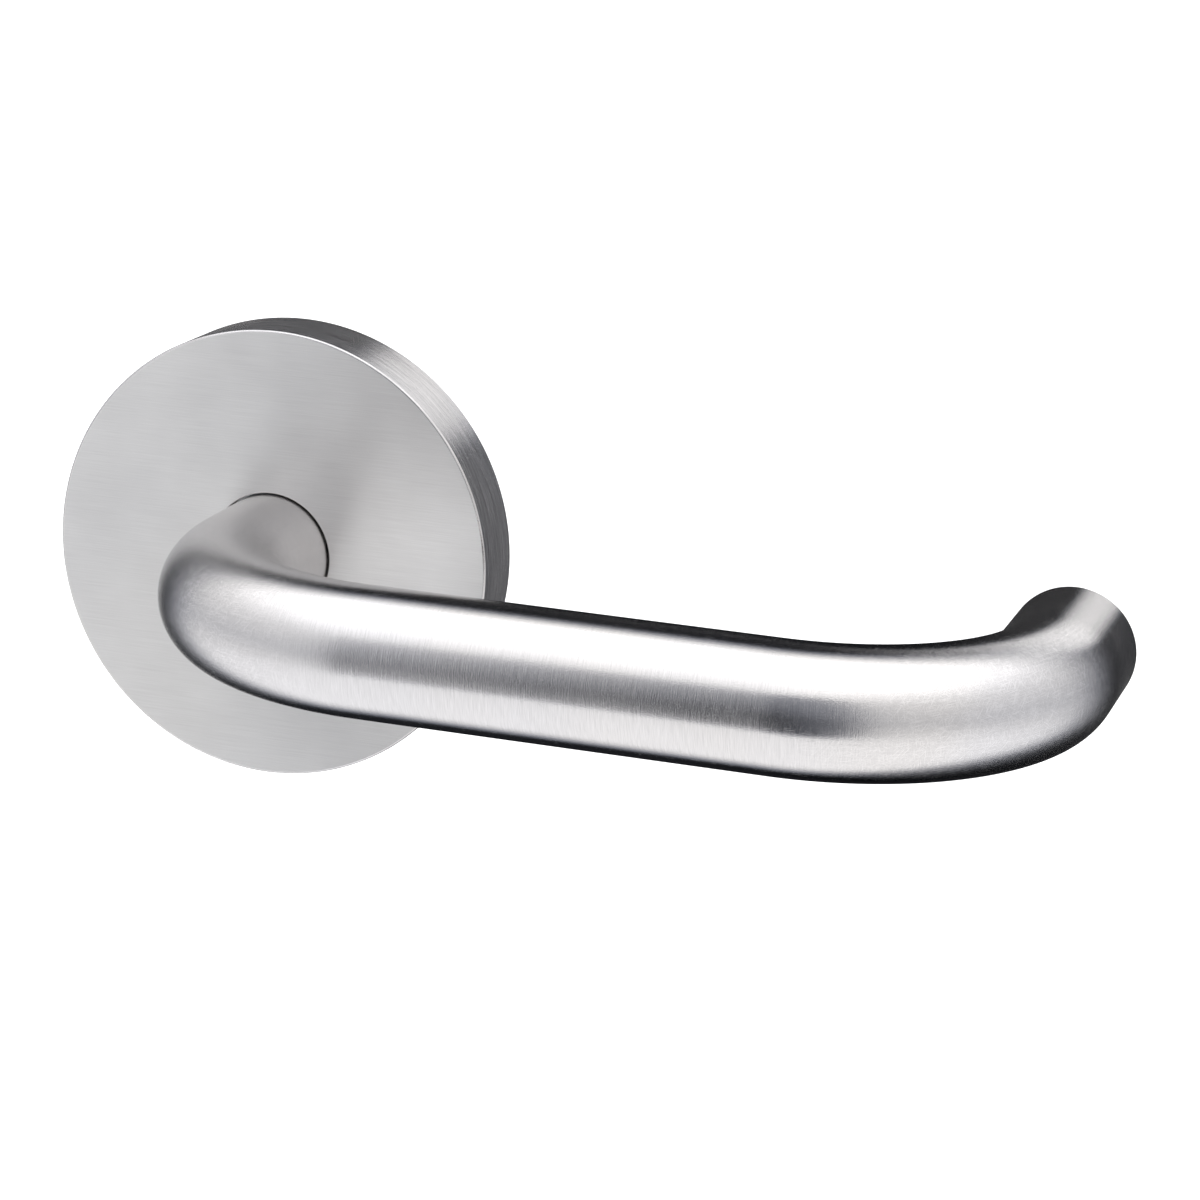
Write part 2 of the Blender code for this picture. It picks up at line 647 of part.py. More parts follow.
def add_cam(parent):
    """Flat cam with a double-D hole, an arm and a lug bent back from its end."""
    start = math.asin(CAM_ARM_HALF_WIDTH / CAM_RADIUS)
    steps = 36
    outline = []
    for k in range(steps + 1):
        angle = start + (math.tau - 2 * start) * k / steps
        outline.append((CAM_RADIUS * math.cos(angle), CAM_RADIUS * math.sin(angle)))
    outline.append((CAM_ARM_REACH, -CAM_ARM_HALF_WIDTH))
    outline.append((CAM_ARM_REACH, CAM_ARM_HALF_WIDTH))
    turn = Matrix.Rotation(LUG_ANGLE, 4, "Y")
    cam = add_part("drive_cam", prism(outline, CAM_FRONT_Y, CAM_BACK_Y), ZINC_PLATED, parent, matrix=turn)
    opening = []
    for k in range(36):
        angle = math.tau * k / 36
        z = CAM_HOLE_RADIUS * math.sin(angle)
        opening.append((CAM_HOLE_RADIUS * math.cos(angle), max(-CAM_HOLE_FLAT, min(CAM_HOLE_FLAT, z))))
    hole = prism(opening, CAM_FRONT_Y - OVERSHOOT, CAM_BACK_Y + OVERSHOOT)
    combine(cam, "DIFFERENCE", "hole_cam", hole)
    low = (LUG_INNER, LUG_ROOT_Y, -LUG_HALF_WIDTH)
    high = (LUG_OUTER, LUG_TIP_Y, LUG_HALF_WIDTH)
    combine(cam, "UNION", "lug", box(low, high), matrix=turn)


def add_retainers(parent):
    """Thrust washer and the split retaining ring behind it."""
    profile = [
        (BUSH_BORE_RADIUS, WASHER_FRONT_Y),
        (WASHER_RADIUS, WASHER_FRONT_Y),
        (WASHER_RADIUS, WASHER_BACK_Y),
        (BUSH_BORE_RADIUS, WASHER_BACK_Y),
    ]
    add_part("thrust_washer", turned(profile, 40), ZINC_PLATED, parent)
    steps = 36
    start = math.pi / 2 + RETAINER_GAP / 2
    sweep = math.tau - RETAINER_GAP
    outer, inner = [], []
    for k in range(steps + 1):
        t = k / steps
        point = polar(1.0, start + sweep * t, 0.0)
        ear = min(t, 1.0 - t) < RETAINER_EAR_SHARE
        body = RETAINER_THIN_RADIUS + RETAINER_SWELL * math.sin(math.pi * t)
        radius = RETAINER_EAR_RADIUS if ear else body
        outer.append((radius * point.x, radius * point.z))
        inner.append((RETAINER_BORE_RADIUS * point.x, RETAINER_BORE_RADIUS * point.z))
    outline = outer + inner[::-1]
    ring = prism(outline, RETAINER_FRONT_Y, RETAINER_BACK_Y)
    add_part("retaining_ring", ring, SPRING_STEEL, parent)


def main():
    """Clears the scene and builds the handle at rest."""
    for obj in list(bpy.data.objects):
        bpy.data.objects.remove(obj, do_unlink=True)
    lever = pivot("lever_pivot")
    cover = pivot("cover_pivot")
    add_mounting_plate()
    add_pins()
    add_bearing()
    add_snap_ring()
    add_return_spring()
    add_fixings()
    add_cover(cover)
    add_tube(lever)
    add_hub(lever)
    add_spindle(lever)
    add_grub_screw(lever)
    add_cam(lever)
    add_retainers(lever)


main()
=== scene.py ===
"""Looks of the door lever handle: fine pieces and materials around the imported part.

Metres, +Z up. The spindle axis is the Y axis, y = 0 is the face of the door, -Y points out of
it and the lever points along +X.
"""

import math

import bmesh
import bpy
from mathutils import Matrix, Vector


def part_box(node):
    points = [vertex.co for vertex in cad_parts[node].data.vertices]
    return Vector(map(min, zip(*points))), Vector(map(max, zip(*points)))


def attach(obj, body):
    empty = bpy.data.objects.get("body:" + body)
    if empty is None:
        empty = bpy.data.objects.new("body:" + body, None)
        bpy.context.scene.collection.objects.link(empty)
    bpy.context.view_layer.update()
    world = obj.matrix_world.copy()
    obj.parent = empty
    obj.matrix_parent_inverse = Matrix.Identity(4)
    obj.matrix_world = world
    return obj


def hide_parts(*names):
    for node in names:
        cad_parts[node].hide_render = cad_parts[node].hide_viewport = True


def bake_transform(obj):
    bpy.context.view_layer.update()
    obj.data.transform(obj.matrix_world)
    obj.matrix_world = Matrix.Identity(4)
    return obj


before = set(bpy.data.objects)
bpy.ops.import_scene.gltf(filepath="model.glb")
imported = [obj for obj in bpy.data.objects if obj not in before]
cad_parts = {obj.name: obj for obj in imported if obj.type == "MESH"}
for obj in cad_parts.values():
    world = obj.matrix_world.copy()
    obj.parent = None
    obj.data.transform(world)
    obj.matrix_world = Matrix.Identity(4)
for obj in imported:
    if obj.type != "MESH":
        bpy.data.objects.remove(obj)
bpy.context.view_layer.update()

# -------- sizes, in metres

LEVER, ROSE, COVER = "lever", "rose", "cover"

COVER_LOW, COVER_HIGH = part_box("rose_cover")
ROSE_RADIUS = COVER_HIGH.x
COVER_FRONT = COVER_LOW.y
COVER_WALL = 0.0015
COVER_HOLE_RADIUS = 0.00975
COVER_EDGE = 0.0004

PLATE_LOW, PLATE_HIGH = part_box("mounting_plate")
PLATE_RADIUS = PLATE_HIGH.x
PLATE_FRONT = -0.0030
BARREL_FRONT = PLATE_LOW.y
BARREL_RADIUS = 0.0120
BARREL_BORE = 0.0100
RECESS_RADIUS = 0.0109
RECESS_FLOOR = -0.0028
GROOVE_FLOOR = 0.0319
GROOVE_FRONT, GROOVE_BACK = -0.0023, -0.0007

TUBE_LOW, TUBE_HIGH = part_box("lever_tube")
TUBE_RADIUS = TUBE_HIGH.z
TUBE_BORE = TUBE_RADIUS - 0.0015
GRIP_Y = TUBE_LOW.y + TUBE_RADIUS
LEVER_REACH = TUBE_HIGH.x - TUBE_RADIUS
BEND_RADIUS = 0.0320
NECK_END = -0.0102
RETURN_END = -0.0080

HUB_FRONT, HUB_BACK = (corner.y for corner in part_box("neck_hub"))
HUB_PLUG = 0.0077
HUB_JOURNAL = 0.0080
HUB_SEAT = 0.0092
HUB_SEAT_FLAT = 0.0083
HUB_GROOVE = 0.0070
HUB_GROOVE_FRONT, HUB_GROOVE_BACK = -0.0020, -0.0006
HUB_BLANK = 0.0110
SQUARE_HOLE = 0.0086
SQUARE_HOLE_END = -0.0210

SPINDLE_LOW, SPINDLE_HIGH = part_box("spindle")
GRUB_Y = -0.0170
GRUB_RADIUS = 0.0025
GRUB_HOLE = 0.0028
GRUB_TOP, GRUB_TIP = 0.0092, 0.0043
GRUB_SOCKET = 0.0025
GRUB_PITCH, GRUB_THREAD = 0.0008, 0.00035

CAM_FRONT, LUG_TIP = (corner.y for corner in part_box("drive_cam"))
CAM_BACK = -0.0086
CAM_RADIUS = 0.0140
CAM_HOLE = 0.0095
CAM_HOLE_FLAT = 0.0086
CAM_ARM_REACH = 0.0205
CAM_ARM_HALF = 0.0030
LUG_INNER, LUG_OUTER = 0.0193, 0.0204
LUG_HALF = 0.0028
LUG_ANGLE = math.radians(157.5)
LEVER_TRAVEL = math.radians(45.0)

PIN_CIRCLE = 0.01985
PIN_RADIUS = 0.00175
PIN_TAIL_RADIUS = 0.0012
PIN_HOLE_RADIUS = 0.0015
PIN_SHOULDER, PIN_TAIL = -0.0033, -0.0004

WIRE_RADIUS = 0.00085
COIL_RADIUS = 0.01415
COIL_TURNS = 1.6
SPRING_FIXED_Y, SPRING_MOVING_Y = -0.00415, -0.00745
LEG_REACH = 0.0220
LEG_BEND = 0.0016

BUSH_BODY = 0.0097
BUSH_BORE = 0.0083
BUSH_FLANGE = 0.0116
BUSH_FRONT, BUSH_FLANGE_BACK, BUSH_BACK = -0.0083, -0.0076, -0.0031
WASHER_RADIUS = 0.0105
WASHER_FRONT, WASHER_BACK = -0.0025, -0.0020
RETAINER_BORE = 0.0073
RETAINER_FRONT, RETAINER_BACK = -0.0017, -0.0009
RETAINER_GAP = math.radians(32.0)

SNAP_RADIUS = 0.0327
SNAP_WIRE = 0.0005
SNAP_Y = -0.0015
SNAP_GAP = math.radians(14.0)

BOLTS = {"upper": 0.0190, "lower": -0.0190}
BOLT_SHANK, BOLT_HEAD = 0.0020, 0.0038
BOLT_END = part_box("fixing_bolt_upper")[1].y
BOLT_PITCH, BOLT_THREAD = 0.0007, 0.00038
SLEEVE_RADIUS, SLEEVE_BORE, SLEEVE_HEAD = 0.0030, 0.0023, 0.0045
SLEEVE_FRONT, SLEEVE_BACK = (corner.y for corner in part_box("sleeve_nut_upper"))
SLEEVE_SLOT_HALF = 0.0006
SLEEVE_BORE_END, SLEEVE_HEAD_FRONT = 0.0310, 0.0350
WOOD_SCREWS = {"left": -0.0260, "right": 0.0260}
WOOD_SHANK, WOOD_CORE, WOOD_HEAD = 0.0016, 0.00105, 0.0035
WOOD_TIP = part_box("wood_screw_left")[1].y
WOOD_PITCH, WOOD_TAPER = 0.0016, 0.0045
HEAD_TOP = -0.0028
HEAD_LAND = 0.0002
HEAD_CLEARANCE = 0.0004

STOP_GAP, WIRE_GAP = 0.00035, 0.0003
PIN_OFFSET = (LUG_HALF + PIN_RADIUS + STOP_GAP) / PIN_CIRCLE
MOVING_LEG = LUG_ANGLE + (LUG_HALF + WIRE_RADIUS + WIRE_GAP) / PIN_CIRCLE
FIXED_LEG = MOVING_LEG - COIL_TURNS * math.tau
PINS = {
    "stop_pin_rest": LUG_ANGLE - PIN_OFFSET,
    "stop_pin_full": LUG_ANGLE + LEVER_TRAVEL + PIN_OFFSET,
    "spring_post": FIXED_LEG + (WIRE_RADIUS + PIN_RADIUS + WIRE_GAP) / PIN_CIRCLE,
}

# Rounds on the edges, from the sharpest to the softest.
KEEN, CRISP, PRESSED, FOOT, FINE = 0.00008, 0.0001, 0.00012, 0.00015, 0.0002
LIP, EASED, DOMED, LEAD_IN = 0.00025, 0.0003, 0.0005, 0.0006

# How many sides each round piece has.
COVER_SIDES, PLATE_SIDES, BUSH_SIDES = 256, 192, 128
TUBE_SIDES, TURNED_SIDES, PIN_SIDES, CUTTER_SIDES = 96, 96, 64, 48
GRUB_SIDES, WOOD_SIDES, BOLT_SIDES = 36, 32, 30
SPRING_SIDES, SNAP_SIDES = 18, 14

# How many steps each long outline has.
END_STEPS, GRIP_STEPS, BEND_STEPS = 8, 24, 48
CAM_STEPS, RETAINER_STEPS, SNAP_STEPS = 110, 120, 200
GRUB_ROWS, WOOD_ROWS = 36, 120

# A cutter reaches past the surface that it cuts by one of these.
REACH, SHORT_REACH, SLIGHT_REACH = 0.001, 0.0005, 0.0003

# -------- mesh helpers

UV = "UVMap"
BEND = "bend"
ARC_STEPS = 6
ON_AXIS = 1e-7
WIRE_END, WIRE_NIP = 0.35, 0.3


def polar(radius, angle, y):
    """The point at this angle about the spindle axis, turned about +Y from +X."""
    return Vector((radius * math.cos(angle), y, -radius * math.sin(angle)))


def rounded(corners, closed=False):
    """A line through (x, y, radius) corners, with an arc of that radius at each."""
    points = []
    count = len(corners)
    for k, (x, y, radius) in enumerate(corners):
        corner = Vector((x, y))
        if radius == 0.0 or (not closed and k in (0, count - 1)):
            points.append(corner)
            continue
        before = (Vector(corners[k - 1][:2]) - corner).normalized()
        after = (Vector(corners[(k + 1) % count][:2]) - corner).normalized()
        half = before.angle(after) / 2
        centre = corner + (before + after).normalized() * radius / math.sin(half)
        start = corner + before * radius / math.tan(half) - centre
        turn = before.angle_signed(after)
        sweep = math.copysign(math.pi - 2 * half, turn)
        for n in range(ARC_STEPS + 1):
            points.append(centre + Matrix.Rotation(sweep * n / ARC_STEPS, 2) @ start)
    return points


def arc(radius, start, sweep, steps):
    """Points along an arc about the origin."""
    angles = [start + sweep * k / steps for k in range(steps + 1)]
    return [(radius * math.cos(angle), radius * math.sin(angle)) for angle in angles]


def uv_layer(bm):
    """The mesh's UV map, made when it has none yet."""
    return bm.loops.layers.uv.get(UV) or bm.loops.layers.uv.new(UV)


def set_uv(face, layer, coordinates):
    """Writes one (across, along) pair for each corner of a face."""
    for loop, pair in zip(face.loops, coordinates):
        loop[layer].uv = pair


def skin(bm, rows, reaches, around, closed, slots=None):
    """Faces between rings of vertices.

    reaches is each ring's distance along the profile and around the distance round a ring, so
    that the UV map is in metres: U across the brushing and V along it. slots gives each band its
    material and whether it is mapped flat.
    """
    layer = uv_layer(bm)
    bands = list(zip(rows, rows[1:])) + ([(rows[-1], rows[0])] if closed else [])
    spans = list(zip(reaches, reaches[1:])) + ([(reaches[-1], reaches[-1])] if closed else [])
    for index, ((first, second), (near, far)) in enumerate(zip(bands, spans)):
        count = max(len(first), len(second))
        slot, flat = slots[index] if slots else (0, False)
        for k in range(count):
            n = (k + 1) % count
            v0, v1 = around * k / count, around * (k + 1) / count
            near_side = (first, k, near, v0), (first, n, near, v1)
            far_side = (second, n, far, v1), (second, k, far, v0)
            corners = {}
            for row, spot, u, v in near_side + far_side:
                corners.setdefault(row[spot % len(row)], (u, v))
            face = bm.faces.new(list(corners))
            face.material_index = slot
            pairs = [(c.co.z, c.co.x) if flat else pair for c, pair in corners.items()]
            set_uv(face, layer, pairs)


def reach_along(points):
    """Distance along a line up to each of its points."""
    total = 0.0
    reaches = [0.0]
    for a, b in zip(points, points[1:]):
        total += (b - a).length
        reaches.append(total)
    return reaches


def turned(profile, segments, zone=None, relief=None):
    """A body turned about the Y axis from a line of (radius, y): closed, or from axis to axis.

    zone(middle, direction) gives a band's material slot and whether it is brushed straight
    across, and relief(radius, y, angle) moves the surface in or out, as a thread does.
    """
    bm = bmesh.new()
    points = [Vector(p[:2]) for p in profile]
    hollow = points[0].x > ON_AXIS
    rows = []
    for radius, y in points:
        if radius <= ON_AXIS:
            rows.append([bm.verts.new((0.0, y, 0.0))])
            continue
        row = []
        for k in range(segments):
            angle = -math.pi / 2 + math.tau * k / segments
            r = relief(radius, y, angle) if relief else radius
            row.append(bm.verts.new((r * math.cos(angle), y, r * math.sin(angle))))
        rows.append(row)
    ends = list(zip(points, points[1:])) + ([(points[-1], points[0])] if hollow else [])
    slots = [zone((a + b) / 2, (b - a).normalized()) for a, b in ends] if zone else None
    widest = max(p.x for p in points)
    skin(bm, rows, reach_along(points), math.tau * widest, hollow, slots)
    return bm


def frames_along(path, start):
    """A (side, across) pair square to the path at each point, carried along without twisting."""
    tangents = []
    for k in range(len(path)):
        ahead = path[min(k + 1, len(path) - 1)]
        behind = path[max(k - 1, 0)]
        tangents.append((ahead - behind).normalized())
    side = Vector(start)
    frames = []
    for k, tangent in enumerate(tangents):
        if k:
            side = tangents[k - 1].rotation_difference(tangent) @ side
        side = (side - side.dot(tangent) * tangent).normalized()
        frames.append((side, tangent.cross(side)))
    return frames


def ring_at(bm, centre, frame_pair, radius, sides):
    """A ring of vertices round a point of a path."""
    side, across = frame_pair
    ring = []
    for n in range(sides):
        angle = math.tau * n / sides
        out = side * math.cos(angle) + across * math.sin(angle)
        ring.append(bm.verts.new(centre + radius * out))
    return ring


def cap(bm, ring):
    """A flat end on a ring."""
    face = bm.faces.new(ring)
    set_uv(face, uv_layer(bm), [(v.co.x, v.co.z) for v in face.verts])


def stations_on(path, frames, radius, ends):
    """(centre, frame, radius) along a path, narrower at its ends by (run, drop) steps."""
    first, last = (path[1] - path[0]).normalized(), (path[-1] - path[-2]).normalized()
    head = [(path[0] + first * run, frames[0], radius - drop) for run, drop in ends]
    tail = [(path[-1] - last * run, frames[-1], radius - drop) for run, drop in ends[::-1]]
    return head + [(p, f, radius) for p, f in zip(path[1:-1], frames[1:-1])] + tail


def piped(stations, sides, closed=False, slots=None):
    """A tube through (centre, frame, radius) stations, and its rings."""
    bm = bmesh.new()
    rows = [ring_at(bm, *station, sides) for station in stations]
    around = math.tau * max(station[2] for station in stations)
    skin(bm, rows, reach_along([s[0] for s in stations]), around, closed, slots)
    return bm, rows


def wire(path, radius, sides):
    """A round wire along a path, with its cut ends slightly rounded."""
    back = radius * WIRE_END
    nip = back * WIRE_NIP
    frames = frames_along(path, (0.0, 1.0, 0.0))
    stations = stations_on(path, frames, radius, ((0.0, back), (nip, nip), (back, 0.0)))
    bm, rows = piped(stations, sides)
    cap(bm, rows[0])
    cap(bm, rows[-1])
    return bm


def prism(outline, y_front, y_back):
    """A flat piece with this (x, z) outline between two y values."""
    bm = bmesh.new()
    layer = uv_layer(bm)
    rows = [[bm.verts.new((x, y, z)) for x, z in outline] for y in (y_front, y_back)]
    around = reach_along([Vector(p) for p in outline])[-1]
    skin(bm, rows, [0.0, y_back - y_front], around, False)
    for row in rows:
        face = bm.faces.new(row)
        set_uv(face, layer, [(v.co.z, v.co.x) for v in face.verts])
    return bm


def block(low, high):
    """A box between two corners."""
    outline = [(low[0], low[2]), (high[0], low[2]), (high[0], high[2]), (low[0], high[2])]
    return prism(outline, low[1], high[1])


def disc_cutter(radius, front, back):
    """A plain turned cutter."""
    corners = [(0.0, front), (radius, front), (radius, back), (0.0, back)]
    return turned(corners, CUTTER_SIDES)


def new_object(name, bm, matrix=None):
    """An object from a bmesh, with its faces pointing out."""
    if matrix is not None:
        bmesh.ops.transform(bm, matrix=matrix, verts=bm.verts)
    bmesh.ops.recalc_face_normals(bm, faces=bm.faces)
    mesh = bpy.data.meshes.new(name)
    bm.to_mesh(mesh)
    bm.free()
    obj = bpy.data.objects.new(name, mesh)
    bpy.context.scene.collection.objects.link(obj)
    return obj


def lathe(name, corners, sides, place=None, hollow=False, zone=None):
    """An object turned from (radius, y, round) corners."""
    return new_object(name, turned(rounded(corners, hollow), sides, zone), place)


def at(x=0.0, y=0.0, z=0.0):
    """The transform that moves a shape here."""
    return Matrix.Translation((x, y, z))


GRUB_PLACE = at(y=GRUB_Y) @ Matrix.Rotation(-math.pi / 2, 4, "X")


def apply_modifiers(obj):
    """Replaces the mesh by what its modifiers make of it."""
    graph = bpy.context.evaluated_depsgraph_get()
    mesh = bpy.data.meshes.new_from_object(obj.evaluated_get(graph))
    obj.modifiers.clear()
    old = obj.data
    obj.data = mesh
    bpy.data.meshes.remove(old)


def cut(obj, cutters, operation="DIFFERENCE"):
    """Cuts (bmesh, matrix) shapes out of a piece, or joins them to it."""
    helpers = []
    for bm, matrix in cutters:
        helper = new_object("cutter", bm, matrix)
        modifier = obj.modifiers.new("cut", "BOOLEAN")
        modifier.operation = operation
        modifier.solver = "EXACT"
        modifier.object = helper
        helpers.append(helper)
    apply_modifiers(obj)
    for helper in helpers:
        bpy.data.objects.remove(helper, do_unlink=True)


def soften(obj, width, segments=2, angle=50.0):
    """Takes the sharpness off the piece's edges."""
    modifier = obj.modifiers.new("edges", "BEVEL")
    modifier.width = width
    modifier.segments = segments
    modifier.limit_method = "ANGLE"
    modifier.angle_limit = math.radians(angle)
    modifier.use_clamp_overlap = True
    modifier.miter_outer = "MITER_ARC"
    apply_modifiers(obj)


def finish_piece(obj, node, body, materials, smooth=34.0):
    """Shades a piece, gives it its materials and lets it stand for its CAD node."""
    obj.data.shade_smooth()
    obj.data.set_sharp_from_angle(angle=math.radians(smooth))
    normals = obj.modifiers.new("normals", "WEIGHTED_NORMAL")
    normals.keep_sharp = True
    apply_modifiers(obj)
    slots = [face.material_index for face in obj.data.polygons]
    obj.data.materials.clear()
    for material in materials:
        obj.data.materials.append(material)
    obj.data.polygons.foreach_set("material_index", slots)
    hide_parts(node)
    if body:
        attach(obj, body)


# -------- node helpers

SEED_SKEW = 1.7
SCRATCH_ANGLES = (12.0, 58.0, 103.0, 149.0)
SCRATCH_SEED_STEP = 3.1
SCRATCH_RAMP = 0.06
METAL = {"Metallic": 1.0}
ALL = "all"


def feed(made, inputs):
    """Sets a node's inputs, or links them where they are sockets."""
    for key, value in inputs.items():
        if isinstance(value, bpy.types.NodeSocket):
            made.id_data.links.new(value, made.inputs[key])
        else:
            made.inputs[key].default_value = value
    return made


def node(kind, inputs, tree=None, **settings):
    """A shader node, in this tree or in the one that its input sockets belong to."""
    sockets = [v for v in inputs.values() if isinstance(v, bpy.types.NodeSocket)]
    made = (tree or sockets[0].id_data).nodes.new(kind)
    for key, value in settings.items():
        setattr(made, key, value)
    return feed(made, inputs)


def maths(operation, a, b=0.0, c=0.0, clamp=False):
    """A Math node's result."""
    inputs = {0: a, 1: b}
    if operation == "MULTIPLY_ADD":
        inputs[2] = c
    return node("ShaderNodeMath", inputs, operation=operation, use_clamp=clamp).outputs[0]


def product(a, b):
    """One value times another."""
    return maths("MULTIPLY", a, b)


def vector_maths(operation, a, b, output=0):
    """A Vector Math node's result."""
    made = node("ShaderNodeVectorMath", {0: a, 1: b}, operation=operation)
    return made.outputs[output]


def remap(value, low, high, to_low=0.0, to_high=1.0, smooth=True):
    """A value spread from one range to another, and held at the ends."""
    kind = "SMOOTHSTEP" if smooth else "LINEAR"
    ranges = {"From Min": low, "From Max": high, "To Min": to_low, "To Max": to_high}
    inputs = {"Value": value, **ranges}
    made = node("ShaderNodeMapRange", inputs, interpolation_type=kind, clamp=True)
    return made.outputs[0]


def noise(vector, scale, detail=2.0, roughness=0.55, distortion=0.0):
    """A Noise Texture's value."""
    inputs = {"Vector": vector, "Scale": scale, "Detail": detail,
              "Roughness": roughness, "Distortion": distortion}
    return node("ShaderNodeTexNoise", inputs).outputs["Fac"]


def streaks(uv, across, along, seed=0.0, angle=0.0, detail=2.0):
    """Noise drawn out along V: about across wide and along long, in metres."""
    vector = uv
    if angle:
        inputs = {"Vector": uv, "Angle": angle}
        vector = node("ShaderNodeVectorRotate", inputs, rotation_type="Z_AXIS").outputs[0]
    scaled = vector_maths("MULTIPLY", vector, (1 / across, 1 / along, 1.0))
    shifted = vector_maths("ADD", scaled, (seed, seed * SEED_SKEW, seed))
    return noise(shifted, 1.0, detail, 0.6)


def scratches(uv, seed, across=0.00006, along=0.0022, rare=0.70):
    """Fine scratches in four directions: 1 on a scratch and 0 off it."""
    total = 0.0
    for number, degrees in enumerate(SCRATCH_ANGLES):
        start = seed + SCRATCH_SEED_STEP * number
        line = streaks(uv, across, along, start, math.radians(degrees), 1.0)
        mark = remap(line, rare, rare + SCRATCH_RAMP, smooth=False)
        total = maths("MAXIMUM", mark, total)
    return total


def mix_colour(factor, a, b):
    """One colour turning into another."""
    inputs = {"Factor": factor, 6: a, 7: b}
    return node("ShaderNodeMix", inputs, data_type="RGBA").outputs[2]


def mix_value(factor, a, b):
    """One value turning into another."""
    return node("ShaderNodeMix", {"Factor": factor, 2: a, 3: b}).outputs[0]


def weigh(parts):
    """The sum of (value, weight) pairs."""
    total = 0.0
    for value, weight in parts:
        total = maths("MULTIPLY_ADD", value, weight, total)
    return total


def shade(colour, factor=1.0):
    """The colour made lighter or darker."""
    return (*(min(1.0, c * factor) for c in colour), 1.0)


def start_material(name):
    """A new material with its shader node, its UV map and its place in space."""
    material = bpy.data.materials.new(name)
    material.use_nodes = True
    tree = material.node_tree
    uv = node("ShaderNodeUVMap", {}, tree, uv_map=UV).outputs["UV"]
    place = node("ShaderNodeTexCoord", {}, tree).outputs["Object"]
    return material, tree.nodes["Principled BSDF"], uv, place


def bumped(height, depth):
    """A normal with this relief, its depth in metres."""
    inputs = {"Height": height, "Strength": 1.0, "Distance": depth}
    return node("ShaderNodeBump", inputs).outputs[0]


# -------- materials

# Brush lines: width and length against the brush's own, seed step, and weight.
BRUSH_LINES = ((0.6, 0.6, 1.0, 0.60), (1.1, 1.0, 5.0, 0.35), (4.0, 1.8, 9.0, 0.05))
BRUSH_PATCHES = 46.0
BRUSH_GRAIN = 4200.0
GRAIN_RELIEF = 0.55
MARK_TONE, MARK_RELIEF = 0.04, 0.12
BEND_MIDDLE = 0.65
BEND_RELIEF = 0.12
BEND_CALM = 1.2
HUE_PATCHES = 24.0
WARM = (1.010, 1.0, 0.982)
COOL = (0.994, 0.998, 1.010)
DARK_SHADE, LIGHT_SHADE = 0.5, 1.5
MIDDLE_ROUGH = 0.105


def brushed(name, colour, roughness, anisotropy, length, width=0.00022, depth=1.6e-6,
            contrast=0.10, cloud=0.05, bends=0.0, seed=0.0):
    """Satin stainless steel with its brushing along V: lines, soft patches and stray scratches.

    length and width are those of a brush line. bends adds the crossed polishing marks of a bend.
    """
    material, shader, uv, place = start_material(name)
    tree = material.node_tree
    lines = weigh([
        (streaks(uv, width * wide, length * long, seed + step), weight)
        for wide, long, step, weight in BRUSH_LINES
    ])
    patches = noise(place, BRUSH_PATCHES, 3.0, 0.5)
    grain = noise(uv, BRUSH_GRAIN, 2.0, 0.6)
    marks = scratches(uv, seed + 20.0)
    tone = weigh(((lines, contrast * 2.0), (patches, cloud * 2.0), (marks, MARK_TONE)))
    tone = maths("SUBTRACT", tone, contrast + cloud)
    height = weigh(((lines, 1.0), (grain, GRAIN_RELIEF), (marks, -MARK_RELIEF)))
    if bends:
        bend = node("ShaderNodeAttribute", {}, tree, attribute_name=BEND).outputs["Fac"]
        crossed = scratches(uv, seed + 40.0, across=0.00009, along=0.0020, rare=0.60)
        drawn = streaks(uv, across=0.0150, along=0.00035, seed=seed + 60.0)
        swirl = weigh(((crossed, 1.0), (drawn, 1.0)))
        swirl = product(maths("SUBTRACT", swirl, BEND_MIDDLE), bend)
        tone = maths("MULTIPLY_ADD", swirl, bends, tone)
        calm = product(maths("SUBTRACT", 0.5, lines), bend)
        tone = maths("MULTIPLY_ADD", calm, contrast * BEND_CALM, tone)
        height = maths("MULTIPLY_ADD", swirl, BEND_RELIEF, height)
    warm, cool = ([c * k for c, k in zip(colour, cast)] for cast in (WARM, COOL))
    warmth = remap(noise(place, HUE_PATCHES, 1.0), 0.38, 0.62)
    dark, light = (
        mix_colour(warmth, shade(cool, level), shade(warm, level))
        for level in (DARK_SHADE, LIGHT_SHADE)
    )
    factor = maths("ADD", tone, 0.5, clamp=True)
    rough = weigh(((lines, 0.10), (patches, 0.08), (grain, 0.03)))
    rough = maths("ADD", rough, roughness - MIDDLE_ROUGH)
    tangent = node("ShaderNodeTangent", {}, tree, direction_type="UV_MAP", uv_map=UV)
    feed(shader, {
        "Base Color": mix_colour(factor, dark, light),
        "Roughness": rough,
        "Metallic": 1.0,
        "Anisotropic": anisotropy,
        "Tangent": tangent.outputs[0],
        "Normal": bumped(height, depth),
    })
    return material


def patchy(vector, low, high, *values):
    """Noise with its contrast raised between two of its values."""
    return remap(noise(vector, *values), low, high)


def coated(name, layers, colours, tone, rough, relief, depth, fixed=METAL):
    """A finish made of named layers.

    tone, rough and relief are {layer: weight}, where ALL stands for 1: tone turns the first
    colour into the second. A layer called film turns the first colour into a third.
    """
    material, shader, uv, place = start_material(name)
    made = {ALL: 1.0}
    for key, (kind, *values) in layers.items():
        made[key] = kind(uv if kind in (streaks, scratches) else place, *values)
    tone, rough, relief = (
        weigh([(made[key], weight) for key, weight in parts.items()])
        for parts in (tone, rough, relief)
    )
    first, second = shade(colours[0]), shade(colours[1])
    if "film" in made:
        first = mix_colour(made["film"], first, shade(colours[2]))
    colour, normal = mix_colour(tone, first, second), bumped(relief, depth)
    feed(shader, {"Base Color": colour, "Roughness": rough, "Normal": normal, **fixed})
    return material


